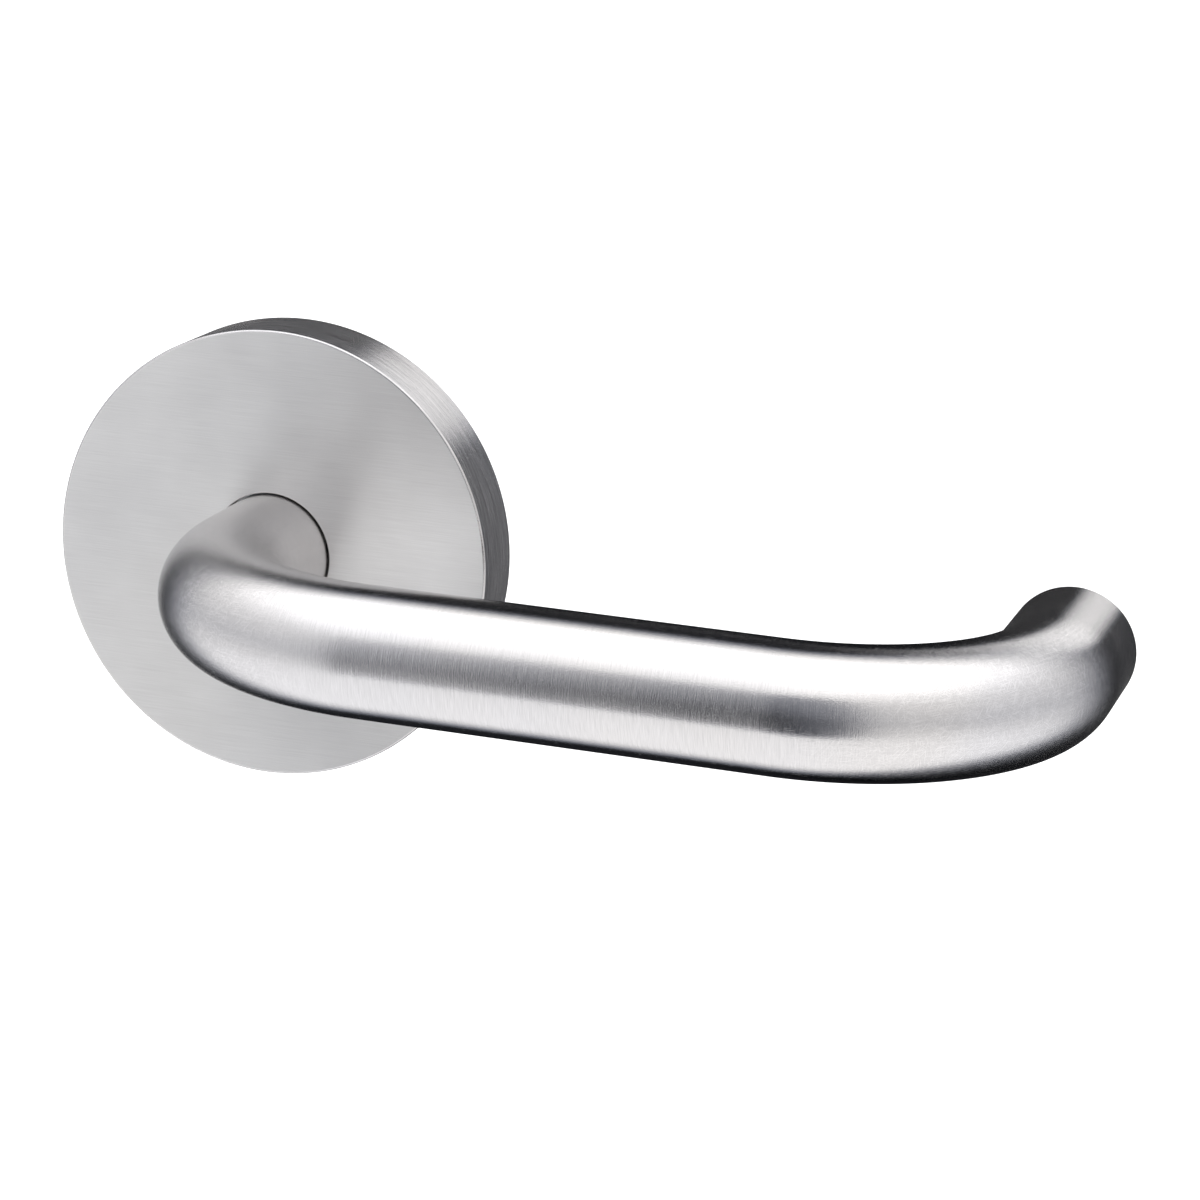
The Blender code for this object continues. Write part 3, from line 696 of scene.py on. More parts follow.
def plated(name, colour, second, seed, mottling):
    """Plated steel: a thin film whose hue wanders, fine turning lines, and handling marks."""
    layers = {
        "film": (patchy, 0.35, 0.65, 190.0, 2.0, 0.5, 0.6),
        "blotch": (noise, 620.0, 3.0, 0.6),
        "lines": (streaks, 0.00016, 0.004, seed + 2.0),
        "marks": (scratches, seed + 30.0, 0.00005, 0.0014, 0.68),
    }
    colours = (colour, [c * 0.45 for c in colour], second)
    tone = {"blotch": mottling, "lines": 0.10, "marks": 0.10, ALL: -(mottling + 0.10) / 2}
    rough = {"blotch": 0.16, "lines": 0.08, "marks": 0.12, ALL: 0.18}
    relief = {"blotch": 0.6, "lines": 0.6, "marks": -0.5}
    return coated(name, layers, colours, tone, rough, relief, 2.5e-6)


STEEL = (0.640, 0.628, 0.636)
# The front face's colour is the steel colour made a third lighter: painted light for the
# brightness of the cover's front face, which is the same steel as the rim.
FACE_PAINTED_LIGHT = brushed("stainless_face_painted_light", (0.850, 0.835, 0.842), 0.39, 0.88, 0.013, depth=1.0e-5,
               contrast=0.17, cloud=0.22, seed=2.0)
RIM = brushed("stainless_rim", STEEL, 0.23, 0.94, 0.014, width=0.00040, depth=3.5e-5,
              contrast=0.55, seed=14.0)
TUBE = brushed("stainless_tube", STEEL, 0.17, 0.95, 0.005, width=0.00018, depth=1.9e-5,
               contrast=0.26, cloud=0.06, bends=0.17, seed=31.0)
BORE = brushed("stainless_bore", (0.50, 0.49, 0.48), 0.42, 0.30, 0.030, contrast=0.25,
               cloud=0.2, seed=44.0)
HUB = brushed("stainless_turned", STEEL, 0.26, 0.70, 0.012, width=0.00012, contrast=0.14,
              seed=52.0)
ZINC = plated("zinc_plated", (0.64, 0.66, 0.70), (0.70, 0.68, 0.64), 0.0, 0.16)
YELLOW = plated("yellow_passivated", (0.76, 0.62, 0.32), (0.70, 0.66, 0.46), 4.0, 0.22)
# Dull plated base: a fine pebbled skin, with brighter rubbed spots.
BASE = coated(
    "plated_base",
    {
        "spots": (patchy, 0.35, 0.65, 120.0, 4.0, 0.6),
        "blotch": (noise, 120.0, 4.0, 0.6),
        "pebble": (noise, 3600.0, 2.0, 0.5),
        "rubbed": (scratches, 60.0, 0.00010, 0.0050, 0.69),
    },
    colours=((0.50, 0.51, 0.53), (0.68, 0.69, 0.71)),
    tone={"spots": 0.55, "pebble": 0.35, "rubbed": 0.5},
    rough={"blotch": 0.16, "pebble": 0.10, "rubbed": -0.12, ALL: 0.38},
    relief={"pebble": 1.0, "rubbed": -0.4},
    depth=1.2e-5,
)
# Dark drawn spring steel: lines along the wire under a film of oil.
SPRING = coated(
    "spring_steel",
    {"drawn": (streaks, 0.0040, 0.00012, 11.0), "blotch": (noise, 420.0, 3.0, 0.6)},
    colours=((0.10, 0.10, 0.115), (0.30, 0.295, 0.29)),
    tone={"drawn": 0.55, "blotch": 0.45},
    rough={"drawn": 0.10, "blotch": 0.14, ALL: 0.22},
    relief={"drawn": 1.0},
    depth=4.0e-6,
    fixed={"Metallic": 1.0, "Coat Weight": 0.25, "Coat Roughness": 0.18},
)
# Blackened steel of the grub screw, worn to bare metal in places.
BLACK = coated(
    "black_oxide",
    {"blotch": (noise, 900.0, 3.0, 0.6), "worn": (scratches, 80.0, 0.00006, 0.0010, 0.66)},
    colours=((0.035, 0.035, 0.04), (0.42, 0.41, 0.40)),
    tone={"blotch": 0.12, "worn": 0.6},
    rough={"blotch": 0.2, ALL: 0.28},
    relief={"blotch": 1.0, "worn": -1.0},
    depth=3.0e-6,
    fixed={"Metallic": 0.9},
)
# Natural white acetal: waxy, with fine turning lines and a little dirt.
ACETAL = coated(
    "natural_acetal",
    {"dirt": (patchy, 0.45, 0.75, 300.0, 4.0, 0.6), "lines": (streaks, 0.00012, 0.02, 7.0)},
    colours=((0.86, 0.855, 0.82), (0.66, 0.64, 0.58)),
    tone={"dirt": 0.55, "lines": 0.25},
    rough={"dirt": 0.2, ALL: 0.34},
    relief={"lines": 1.0},
    depth=4.0e-6,
    fixed={
        "Subsurface Weight": 0.15,
        "Subsurface Radius": (0.0012, 0.0010, 0.0008),
        "Subsurface Scale": 1.0,
    },
)

# -------- cover and lever


def cover_zone(middle, direction):
    """Straight brushing on the flat front, turned brushing on the rim, plain steel inside."""
    inside = middle.x < ROSE_RADIUS - 0.0010 and middle.y > COVER_FRONT + COVER_WALL * 0.8
    level = abs(direction.y) < 0.2
    if level and middle.y < COVER_FRONT + 0.0002 and middle.x > COVER_HOLE_RADIUS:
        return 0, True
    return (2, False) if inside else (1, False)


def make_cover():
    """Pressed cup with a crisp outer edge and a deburred hole."""
    front, foot = COVER_FRONT, COVER_HIGH.y
    inner, back = ROSE_RADIUS - COVER_WALL, COVER_FRONT + COVER_WALL
    cover = lathe("rose_cover_shell", [
        (COVER_HOLE_RADIUS, front, PRESSED), (ROSE_RADIUS, front, COVER_EDGE),
        (ROSE_RADIUS, foot, FOOT), (inner, foot, FOOT),
        (inner, back, LEAD_IN), (COVER_HOLE_RADIUS, back, PRESSED),
    ], COVER_SIDES, hollow=True, zone=cover_zone)
    finish_piece(cover, "rose_cover", COVER, (FACE_PAINTED_LIGHT, RIM, BORE))


def lever_path():
    """Centre line of the tube with its stations close together in the bends."""
    centre_y = GRIP_Y + BEND_RADIUS
    path = []
    for k in range(END_STEPS):
        path.append(Vector((0.0, NECK_END + (centre_y - NECK_END) * k / END_STEPS, 0.0)))
    for centre_x, start in ((BEND_RADIUS, math.pi), (LEVER_REACH - BEND_RADIUS, 1.5 * math.pi)):
        if centre_x > BEND_RADIUS:
            first = path[-1].x
            for k in range(1, GRIP_STEPS):
                path.append(Vector((first + (centre_x - first) * k / GRIP_STEPS, GRIP_Y, 0.0)))
        for k in range(BEND_STEPS + 1):
            angle = start + math.pi / 2 * k / BEND_STEPS
            x = centre_x + BEND_RADIUS * math.cos(angle)
            y = centre_y + BEND_RADIUS * math.sin(angle)
            path.append(Vector((x, y, 0.0)))
    for k in range(1, END_STEPS + 1):
        y = centre_y + (RETURN_END - centre_y) * k / END_STEPS
        path.append(Vector((LEVER_REACH, y, 0.0)))
    return path


def make_tube():
    """The bent tube: outside, bore, and ends with a small round."""
    path = lever_path()
    frames = frames_along(path, (1.0, 0.0, 0.0))
    outer = stations_on(path, frames, TUBE_RADIUS, ((0.0, LIP), (LIP, 0.0)))
    inner = [(p, f, TUBE_BORE) for p, f in zip(path, frames)]
    slots = [(0, False)] * len(outer) + [(1, False)] * len(inner)
    tube = new_object("lever_tube_brushed", piped(outer + inner[::-1], TUBE_SIDES, True, slots)[0])
    mark_bends(tube)
    cut(tube, [(disc_cutter(GRUB_HOLE, 0.0050, 0.0120), GRUB_PLACE)])
    finish_piece(tube, "lever_tube", LEVER, (TUBE, BORE))


def mark_bends(tube):
    """Writes how far into a bend each point of the tube is, for its polishing marks."""
    attribute = tube.data.attributes.new(BEND, "FLOAT", "POINT")
    centre_y = GRIP_Y + BEND_RADIUS
    for index, vertex in enumerate(tube.data.vertices):
        x, y, _ = vertex.co
        towards = max(BEND_RADIUS - x, x - (LEVER_REACH - BEND_RADIUS))
        along = min(1.0, max(0.0, towards / 0.022))
        near_end = min(1.0, max(0.0, (centre_y + 0.006 - y) / 0.012))
        attribute.data[index].value = along * (0.35 + 0.65 * near_end)


def make_end_cap():
    """Plug in the end of the return, with a turned face."""
    low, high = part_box("end_cap")
    plug = lathe("end_cap_turned", [
        (0.0, low.y, 0.0), (HUB_PLUG, low.y, LEAD_IN),
        (HUB_PLUG, high.y, EASED), (0.0, high.y, 0.0),
    ], TURNED_SIDES, at(LEVER_REACH))
    finish_piece(plug, "end_cap", LEVER, (HUB,))


def make_hub():
    """Turned hub with its seat, journal, retaining groove, square hole and screw hole."""
    hub = lathe("neck_hub_turned", [
        (0.0, HUB_FRONT, 0.0), (HUB_PLUG, HUB_FRONT, LEAD_IN),
        (HUB_PLUG, CAM_FRONT, FINE), (HUB_SEAT, CAM_FRONT, FINE),
        (HUB_SEAT, CAM_BACK, FINE), (HUB_JOURNAL, CAM_BACK, FINE),
        (HUB_JOURNAL, HUB_GROOVE_FRONT, CRISP), (HUB_GROOVE, HUB_GROOVE_FRONT, CRISP),
        (HUB_GROOVE, HUB_GROOVE_BACK, CRISP), (HUB_JOURNAL, HUB_GROOVE_BACK, CRISP),
        (HUB_JOURNAL, HUB_BACK, EASED), (0.0, HUB_BACK, 0.0),
    ], TURNED_SIDES)
    front, back = CAM_FRONT - SLIGHT_REACH, CAM_BACK + SLIGHT_REACH
    wide, half = HUB_BLANK, SQUARE_HOLE / 2
    cut(hub, [
        (block((-wide, front, HUB_SEAT_FLAT), (wide, back, wide)), None),
        (block((-wide, front, -wide), (wide, back, -HUB_SEAT_FLAT)), None),
        (block((-half, SQUARE_HOLE_END, -half), (half, HUB_BACK + REACH, half)), None),
        (disc_cutter(GRUB_HOLE, 0.0036, 0.0120), GRUB_PLACE),
    ])
    finish_piece(hub, "neck_hub", LEVER, (HUB,))


def make_spindle():
    """Square bar with rolled corners and chamfered ends."""
    half = SPINDLE_HIGH.x
    corners = ((half, half), (-half, half), (-half, -half), (half, -half))
    outline = rounded([(x, z, DOMED) for x, z in corners], closed=True)
    spindle = new_object("spindle_bar", prism(outline, SPINDLE_LOW.y, SPINDLE_HIGH.y))
    soften(spindle, 0.0004, 3, 60.0)
    finish_piece(spindle, "spindle", LEVER, (ZINC,))


def make_grub_screw():
    """Socket grub screw with its thread, hexagon socket and cup point."""
    start = GRUB_TIP + 0.0006
    run = GRUB_TOP - 0.0008 - GRUB_TIP
    profile = [(0.0, start), (0.0011, GRUB_TIP), (0.0016, GRUB_TIP)]
    for k in range(GRUB_ROWS + 1):
        profile.append((GRUB_RADIUS, start + run * k / GRUB_ROWS))
    profile += [(GRUB_RADIUS - 0.0003, GRUB_TOP), (0.0, GRUB_TOP)]

    def relief(radius, y, angle):
        if radius < GRUB_RADIUS:
            return radius
        return radius - GRUB_THREAD * thread_depth(y, angle, GRUB_PITCH)

    body = turned(profile, GRUB_SIDES, relief=relief)
    screw = new_object("grub_screw_threaded", body, GRUB_PLACE)
    corner = GRUB_SOCKET / math.sqrt(3)
    hexagon = arc(corner, 0.0, math.tau, 6)[:-1]
    cut(screw, [(prism(hexagon, GRUB_TOP - 0.0020, GRUB_TOP + REACH), GRUB_PLACE)])
    finish_piece(screw, "grub_screw", LEVER, (BLACK,))


def make_cam():
    """Pressed cam with a double-D hole and a lug bent back from its arm."""
    start = math.asin(CAM_ARM_HALF / CAM_RADIUS) + 0.09
    tip = 0.0004
    arm = [
        (CAM_ARM_REACH, CAM_ARM_HALF - tip), (CAM_ARM_REACH - tip, CAM_ARM_HALF),
        (CAM_RADIUS + 0.0014, CAM_ARM_HALF), (CAM_RADIUS + 0.0003, CAM_ARM_HALF + 0.0004),
    ]
    outline = arm + arc(CAM_RADIUS, start, math.tau - 2 * start, CAM_STEPS)
    outline += [(x, -z) for x, z in arm[::-1]]
    turn = Matrix.Rotation(LUG_ANGLE, 4, "Y")
    cam = new_object("drive_cam_plate", prism(outline, CAM_FRONT, CAM_BACK), turn)
    limit = math.asin(CAM_HOLE_FLAT / CAM_HOLE)
    opening = arc(CAM_HOLE, -limit, 2 * limit, 24)
    opening += arc(CAM_HOLE, math.pi - limit, 2 * limit, 24)
    cut(cam, [(prism(opening, CAM_FRONT - REACH, CAM_BACK + REACH), None)])
    low = (LUG_INNER, CAM_FRONT + 0.0003, -LUG_HALF)
    high = (LUG_OUTER, LUG_TIP, LUG_HALF)
    cut(cam, [(block(low, high), turn)], "UNION")
    soften(cam, PRESSED)
    finish_piece(cam, "drive_cam", LEVER, (ZINC,))


def make_washer():
    """Thrust washer behind the plate."""
    washer = lathe("thrust_washer_flat", [
        (BUSH_BORE, WASHER_FRONT, CRISP), (WASHER_RADIUS, WASHER_FRONT, CRISP),
        (WASHER_RADIUS, WASHER_BACK, CRISP), (BUSH_BORE, WASHER_BACK, CRISP),
    ], TURNED_SIDES, hollow=True)
    finish_piece(washer, "thrust_washer", LEVER, (ZINC,))


def make_retaining_ring():
    """Split ring with an eye in each ear."""
    start = math.pi / 2 + RETAINER_GAP / 2
    sweep = math.tau - RETAINER_GAP
    outer, inner = [], []
    for k in range(RETAINER_STEPS + 1):
        t = k / RETAINER_STEPS
        point = polar(1.0, start + sweep * t, 0.0)
        ear = min(1.0, max(0.0, (0.062 - min(t, 1.0 - t)) / 0.012))
        radius = 0.0092 + 0.0010 * math.sin(math.pi * t)
        radius += (0.0104 - radius) * ear * ear * (3 - 2 * ear)
        outer.append((radius * point.x, radius * point.z))
        inner.append((RETAINER_BORE * point.x, RETAINER_BORE * point.z))
    body = prism(outer + inner[::-1], RETAINER_FRONT, RETAINER_BACK)
    ring = new_object("retaining_ring_split", body)
    eyes = []
    for angle in (start + 0.15, start + sweep - 0.15):
        eye = disc_cutter(0.00065, RETAINER_FRONT - REACH, RETAINER_BACK + REACH)
        eyes.append((eye, at(*polar(0.0089, angle, 0.0))))
    cut(ring, eyes)
    soften(ring, KEEN)
    finish_piece(ring, "retaining_ring", LEVER, (SPRING,))


# -------- what stays with the door


def thread_depth(y, angle, pitch):
    """How far a V thread is cut at this place: 0 at a crest and 1 at a root."""
    phase = (y / pitch - angle / math.tau) % 1.0
    return min(1.0, max(0.0, abs(2.0 * phase - 1.0) * 1.25 - 0.12))


def fade(y, low, high, run):
    """1 between low and high, falling to 0 over run at each end."""
    return min(1.0, max(0.0, (y - low) / run)) * min(1.0, max(0.0, (high - y) / run))


def countersunk_head(shank, head):
    """Half profile of a countersunk head, from the axis to the end of the cone."""
    return [tuple(p) for p in rounded([
        (0.0, HEAD_TOP, 0.0), (head, HEAD_TOP, KEEN),
        (head, HEAD_TOP + HEAD_LAND, KEEN), (shank, HEAD_TOP + HEAD_LAND + head - shank, 0.0),
    ])]


def cross_cutters(length, width, depth):
    """Two tapered blades that cut a cross recess, with a small square at their meeting."""
    cutters = []
    top, bottom = HEAD_TOP - 0.0004, HEAD_TOP + depth
    for quarter in (0.0, math.pi / 2):
        bm = block((-length, top, -width), (length, bottom, width))
        for vertex in bm.verts:
            if vertex.co.y > HEAD_TOP:
                vertex.co.x *= 0.42
                vertex.co.z *= 0.80
        cutters.append((bm, Matrix.Rotation(quarter, 4, "Y")))
    half = width * 1.9
    core = block((-half, top, -half), (half, HEAD_TOP + depth * 0.9, half))
    cutters.append((core, Matrix.Rotation(math.pi / 4, 4, "Y")))
    return cutters


def make_screw(node_name, body, recess, place, material):
    """A countersunk screw with a cross recess of this (length, width, depth)."""
    screw = new_object(f"{node_name}_threaded", body)
    cut(screw, cross_cutters(*recess))
    screw.data.transform(place)
    finish_piece(screw, node_name, ROSE, (material,))


def make_bolts():
    """Countersunk bolts, threaded to the head, and their sleeve nuts."""
    start = HEAD_TOP + HEAD_LAND + BOLT_HEAD - BOLT_SHANK + 0.0002
    run = BOLT_END - 0.0006 - start
    rows = round(run / BOLT_PITCH * 6)
    profile = countersunk_head(BOLT_SHANK, BOLT_HEAD)
    for k in range(rows + 1):
        profile.append((BOLT_SHANK, start + run * k / rows))
    profile += [(BOLT_SHANK - 0.0006, BOLT_END), (0.0, BOLT_END)]

    def relief(radius, y, angle):
        if y < start or radius < BOLT_SHANK - 1e-6:
            return radius
        cutting = fade(y, start, BOLT_END - 0.0005, 0.0006)
        return radius - BOLT_THREAD * cutting * thread_depth(y, angle, BOLT_PITCH)

    for side, z in BOLTS.items():
        body = turned(profile, BOLT_SIDES, relief=relief)
        make_screw(f"fixing_bolt_{side}", body, (0.0021, 0.00042, 0.0014), at(z=z), ZINC)
        make_sleeve_nut(side, z)


def make_sleeve_nut(side, z):
    """Round nut with a slotted head."""
    nut = lathe(f"sleeve_nut_{side}_slotted", [
        (0.0, SLEEVE_BORE_END, 0.0), (SLEEVE_BORE, SLEEVE_BORE_END - 0.0010, 0.0),
        (SLEEVE_BORE, SLEEVE_FRONT, FINE), (SLEEVE_RADIUS, SLEEVE_FRONT, FINE),
        (SLEEVE_RADIUS, SLEEVE_HEAD_FRONT, EASED), (SLEEVE_HEAD, SLEEVE_HEAD_FRONT, FINE),
        (SLEEVE_HEAD, SLEEVE_BACK, DOMED), (0.0, SLEEVE_BACK, 0.0),
    ], PIN_SIDES, at(z=z))
    low = (-0.006, SLEEVE_BACK - REACH, z - SLEEVE_SLOT_HALF)
    high = (0.006, SLEEVE_BACK + REACH, z + SLEEVE_SLOT_HALF)
    cut(nut, [(block(low, high), None)])
    finish_piece(nut, f"sleeve_nut_{side}", ROSE, (ZINC,))


def make_wood_screws():
    """Countersunk wood screws with a deep coarse thread to a sharp point."""
    start = HEAD_TOP + HEAD_LAND + WOOD_HEAD - WOOD_SHANK
    profile = countersunk_head(WOOD_SHANK, WOOD_HEAD)
    for k in range(1, WOOD_ROWS):
        y = start + (WOOD_TIP - start) * k / WOOD_ROWS
        neck = max(0.0, 1.0 - (y - start) / 0.0010) * (WOOD_SHANK - WOOD_CORE)
        profile.append((WOOD_CORE * min(1.0, (WOOD_TIP - y) / WOOD_TAPER) + neck, y))
    profile.append((0.0, WOOD_TIP))

    def relief(radius, y, angle):
        if y < start + 0.0001 or radius <= 1e-6:
            return radius
        phase = (y / WOOD_PITCH - angle / math.tau) % 1.0
        ridge = max(0.0, 1.0 - abs(2.0 * phase - 1.0) * 2.6)
        crest = (WOOD_SHANK - WOOD_CORE) * min(1.0, (WOOD_TIP - y) / WOOD_TAPER * 1.3)
        return radius + ridge * crest * fade(y, start, WOOD_TIP, 0.0006)

    for side, x in WOOD_SCREWS.items():
        body = turned(profile, WOOD_SIDES, relief=relief)
        make_screw(f"wood_screw_{side}", body, (0.0019, 0.00038, 0.0012), at(x), YELLOW)


def countersink_cutter(shank, head):
    """The hole in the plate for a countersunk screw."""
    front = PLATE_FRONT - SHORT_REACH
    cone_end = HEAD_TOP + HEAD_LAND + head - shank
    rise = HEAD_TOP + HEAD_LAND - front
    return turned([
        (0.0, front), (head + HEAD_CLEARANCE + rise, front),
        (shank + HEAD_CLEARANCE, cone_end), (shank + HEAD_CLEARANCE, SHORT_REACH),
        (0.0, SHORT_REACH),
    ], CUTTER_SIDES)


def make_plate():
    """Base with the bearing barrel, screw holes, pin holes and the groove for the snap ring."""
    plate = lathe("mounting_plate_fine", [
        (RECESS_RADIUS, 0.0, LIP), (PLATE_RADIUS, 0.0, EASED),
        (PLATE_RADIUS, GROOVE_BACK, CRISP), (GROOVE_FLOOR, GROOVE_BACK, CRISP),
        (GROOVE_FLOOR, GROOVE_FRONT, CRISP), (PLATE_RADIUS, GROOVE_FRONT, CRISP),
        (PLATE_RADIUS, PLATE_FRONT, EASED), (BARREL_RADIUS, PLATE_FRONT, EASED),
        (BARREL_RADIUS, BARREL_FRONT, EASED), (BARREL_BORE, BARREL_FRONT, FINE),
        (BARREL_BORE, RECESS_FLOOR, CRISP), (RECESS_RADIUS, RECESS_FLOOR, CRISP),
    ], PLATE_SIDES, hollow=True)
    cutters = [(countersink_cutter(BOLT_SHANK, BOLT_HEAD), at(z=z)) for z in BOLTS.values()]
    sides = reversed(WOOD_SCREWS.values())
    cutters += [(countersink_cutter(WOOD_SHANK, WOOD_HEAD), at(x)) for x in sides]
    for angle in PINS.values():
        hole = disc_cutter(PIN_HOLE_RADIUS, PLATE_FRONT - SHORT_REACH, SHORT_REACH)
        cutters.append((hole, at(*polar(PIN_CIRCLE, angle, 0.0))))
    cut(plate, cutters)
    finish_piece(plate, "mounting_plate", ROSE, (BASE,))


def make_pins():
    """Stop pins and spring post, with shoulders and domed heads."""
    for name, angle in PINS.items():
        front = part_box(name)[0].y
        pin = lathe(f"{name}_turned", [
            (0.0, front, 0.0), (PIN_RADIUS, front, DOMED),
            (PIN_RADIUS, PIN_SHOULDER, FOOT), (PIN_TAIL_RADIUS, PIN_SHOULDER, CRISP),
            (PIN_TAIL_RADIUS, PIN_TAIL, EASED), (0.0, PIN_TAIL, 0.0),
        ], PIN_SIDES, at(*polar(PIN_CIRCLE, angle, 0.0)))
        finish_piece(pin, name, ROSE, (ZINC,))


def make_bush():
    """Flanged acetal bush."""
    bush = lathe("bearing_bush_moulded", [
        (BUSH_BORE, BUSH_FRONT, FINE), (BUSH_FLANGE, BUSH_FRONT, FINE),
        (BUSH_FLANGE, BUSH_FLANGE_BACK, FINE), (BUSH_BODY, BUSH_FLANGE_BACK, CRISP),
        (BUSH_BODY, BUSH_BACK, EASED), (BUSH_BORE, BUSH_BACK, FINE),
    ], BUSH_SIDES, hollow=True)
    finish_piece(bush, "bearing_bush", ROSE, (ACETAL,))


def make_snap_ring():
    """Split wire ring in the rim of the plate."""
    sweep = math.tau - SNAP_GAP
    path = []
    for k in range(SNAP_STEPS + 1):
        path.append(polar(SNAP_RADIUS, SNAP_GAP / 2 + sweep * k / SNAP_STEPS, SNAP_Y))
    ring = new_object("cover_snap_ring_wire", wire(path, SNAP_WIRE, SNAP_SIDES))
    finish_piece(ring, "cover_snap_ring", ROSE, (SPRING,))


def spring_leg(angle, y, turn):
    """Points of one leg from its tip in to the coil.

    turn is +1 where the coil goes on to larger angles.
    """
    out = polar(1.0, angle, 0.0)
    along = turn * polar(1.0, angle + math.pi / 2, 0.0)
    root = COIL_RADIUS + LEG_BEND
    centre = root * out + LEG_BEND * along
    points = []
    for k in range(4):
        points.append((LEG_REACH + (root - LEG_REACH) * k / 4) * out)
    for k in range(9):
        bend = math.pi / 2 * k / 8
        points.append(centre - LEG_BEND * (math.cos(bend) * along + math.sin(bend) * out))
    return [Vector((p.x, y, p.z)) for p in points]


def make_spring():
    """Torsion spring, its fixed leg by the spring post and its other leg, which turns with the
    lever in use, by the cam's lug; the piece hangs on no body.
    """
    lead = math.atan2(LEG_BEND, COIL_RADIUS)
    first, last = FIXED_LEG + lead, MOVING_LEG - lead
    steps = round((last - first) / math.radians(3.5))
    coil = []
    for k in range(1, steps):
        t = k / steps
        y = SPRING_FIXED_Y + (SPRING_MOVING_Y - SPRING_FIXED_Y) * t
        coil.append(polar(COIL_RADIUS, first + (last - first) * t, y))
    head = spring_leg(FIXED_LEG, SPRING_FIXED_Y, 1)
    tail = spring_leg(MOVING_LEG, SPRING_MOVING_Y, -1)
    body = wire(head + coil + tail[::-1], WIRE_RADIUS, SPRING_SIDES)
    spring = new_object("return_spring_wound", body)
    finish_piece(spring, "return_spring", None, (SPRING,))
    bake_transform(spring)


# -------- stage, light and camera

FLOOR_Z = -0.34
FLOOR_RADIUS, FLOOR_GLOW = 4.2, 0.45
DOME_RADIUS, DOME_GLOW = 4.1, 1.05
PAPER_DARK, PAPER_LIGHT = (0.90, 0.90, 0.90), (0.94, 0.94, 0.94)

# The tent's light, by height from the floor (0) to straight above (1).
TENT_LEVELS = (
    (0.0, 0.48), (0.26, 0.45), (0.42, 0.31), (0.52, 0.29),
    (0.66, 0.33), (0.80, 0.41), (0.90, 0.66), (1.0, 0.72),
)
TENT_STRENGTH = 2.7
# It ends behind the handle, further round on the left than on the right.
REAR_SHIFT = (-0.25, 0.42, 0.06, 0.43)
REAR_TILT, REAR_TILT_UPPER = -0.06, -0.16
REAR_FADE = (0.02, 0.50, 1.0, 0.015)
# In front it has a dark opening with soft corners, a little brighter above and to the right.
# Across and upwards: the middle, the half width, and the power that makes its corners soft.
OPENING_ACROSS, OPENING_UP = (0.06, 0.42, 3.0), (0.08, 0.53, 5.0)
OPENING_FADE = (0.50, 1.7, 1.0, 0.0)
OPENING_FRONT = (-0.25, -0.10, 1.0, 0.0)
OPENING_LEVEL = (-0.20, 0.30, 0.02, 0.20)
OPENING_LIFT = 0.50
NEAR_ZERO = 0.05
# Azimuth and elevation, and the half angles between which each one fades, in degrees.
CARD_AIM, CARD_REACH, CARD_LEVEL = (156.0, -54.0), (33.0, 13.0), 0.15
LAMP_AIM, LAMP_REACH, LAMP_LEVEL = (169.0, 25.0), (17.0, 10.0), 1.35
SHADOW_TINT, WHITE = (0.86, 0.91, 1.06, 1.0), (1.0, 1.0, 1.0, 1.0)

TOP_LIGHT_Y, TOP_LIGHT_Z = -0.25, 1.4
TOP_LIGHT_SIZE = 1.0
TOP_LIGHT_POWER = 0.5

CAMERA_AIM = (16.613, 15.006)
CAMERA_ROLL = math.radians(2.846)
CAMERA_DISTANCE = 0.5788
CAMERA_LENS, CAMERA_SENSOR = 110.76, 36.0
CAMERA_NEAR, CAMERA_FAR = 0.01, 20.0
AIM_RIGHT, AIM_UP = 0.04720, -0.00972


def backdrop_material(name, strength):
    """Pale matt paper of the floor and the backdrop, with a trace of unevenness."""
    material, shader, _, place = start_material(name)
    patches = noise(place, 1.5, 2.0, 0.5)
    colour = mix_colour(patches, shade(PAPER_DARK), shade(PAPER_LIGHT))
    feed(shader, {
        "Base Color": colour,
        "Emission Color": colour,
        "Emission Strength": strength,
        "Roughness": 0.9,
        "Specular IOR Level": 0.1,
    })
    return material


def make_stage():
    """A plain pale floor far below the handle and a pale backdrop, out of its reflections."""
    bm = bmesh.new()
    bmesh.ops.create_circle(bm, cap_ends=True, segments=96, radius=FLOOR_RADIUS)
    floor = new_object("floor", bm, at(z=FLOOR_Z))
    floor.data.materials.append(backdrop_material("floor_paper", FLOOR_GLOW))
    bm = bmesh.new()
    bmesh.ops.create_uvsphere(bm, u_segments=64, v_segments=32, radius=DOME_RADIUS)
    dome = new_object("backdrop", bm)
    dome.data.shade_smooth()
    dome.data.materials.append(backdrop_material("backdrop_paper", DOME_GLOW))
    dome.visible_diffuse = False
    dome.visible_shadow = False
    for piece in (floor, dome):
        piece.visible_glossy = False
        piece.visible_transmission = False


def facing_to(azimuth, elevation):
    """The direction at this azimuth, from -Y round to +X, and this elevation, in degrees."""
    a, e = math.radians(azimuth), math.radians(elevation)
    return Vector((math.sin(a) * math.cos(e), -math.cos(a) * math.cos(e), math.sin(e)))


def spot(direction, aim, reach, far=0.0, near=1.0):
    """near within a cone round aim, fading to far between its two half angles."""
    towards = vector_maths("DOT_PRODUCT", direction, facing_to(*aim), "Value")
    outer, inner = (math.cos(math.radians(angle)) for angle in reach)
    return remap(towards, outer, inner, far, near)


def tent_height(z):
    """The tent's light at each height."""
    ramp = node("ShaderNodeValToRGB", {"Fac": maths("MULTIPLY_ADD", z, 0.5, 0.5)})
    ramp.color_ramp.interpolation = "B_SPLINE"
    stops = ramp.color_ramp.elements
    while len(stops) < len(TENT_LEVELS):
        stops.new(0.5)
    for stop, (place, level) in zip(stops, TENT_LEVELS):
        stop.position = place
        stop.color = shade((level, level, level))
    return product(ramp.outputs[0], TENT_STRENGTH)


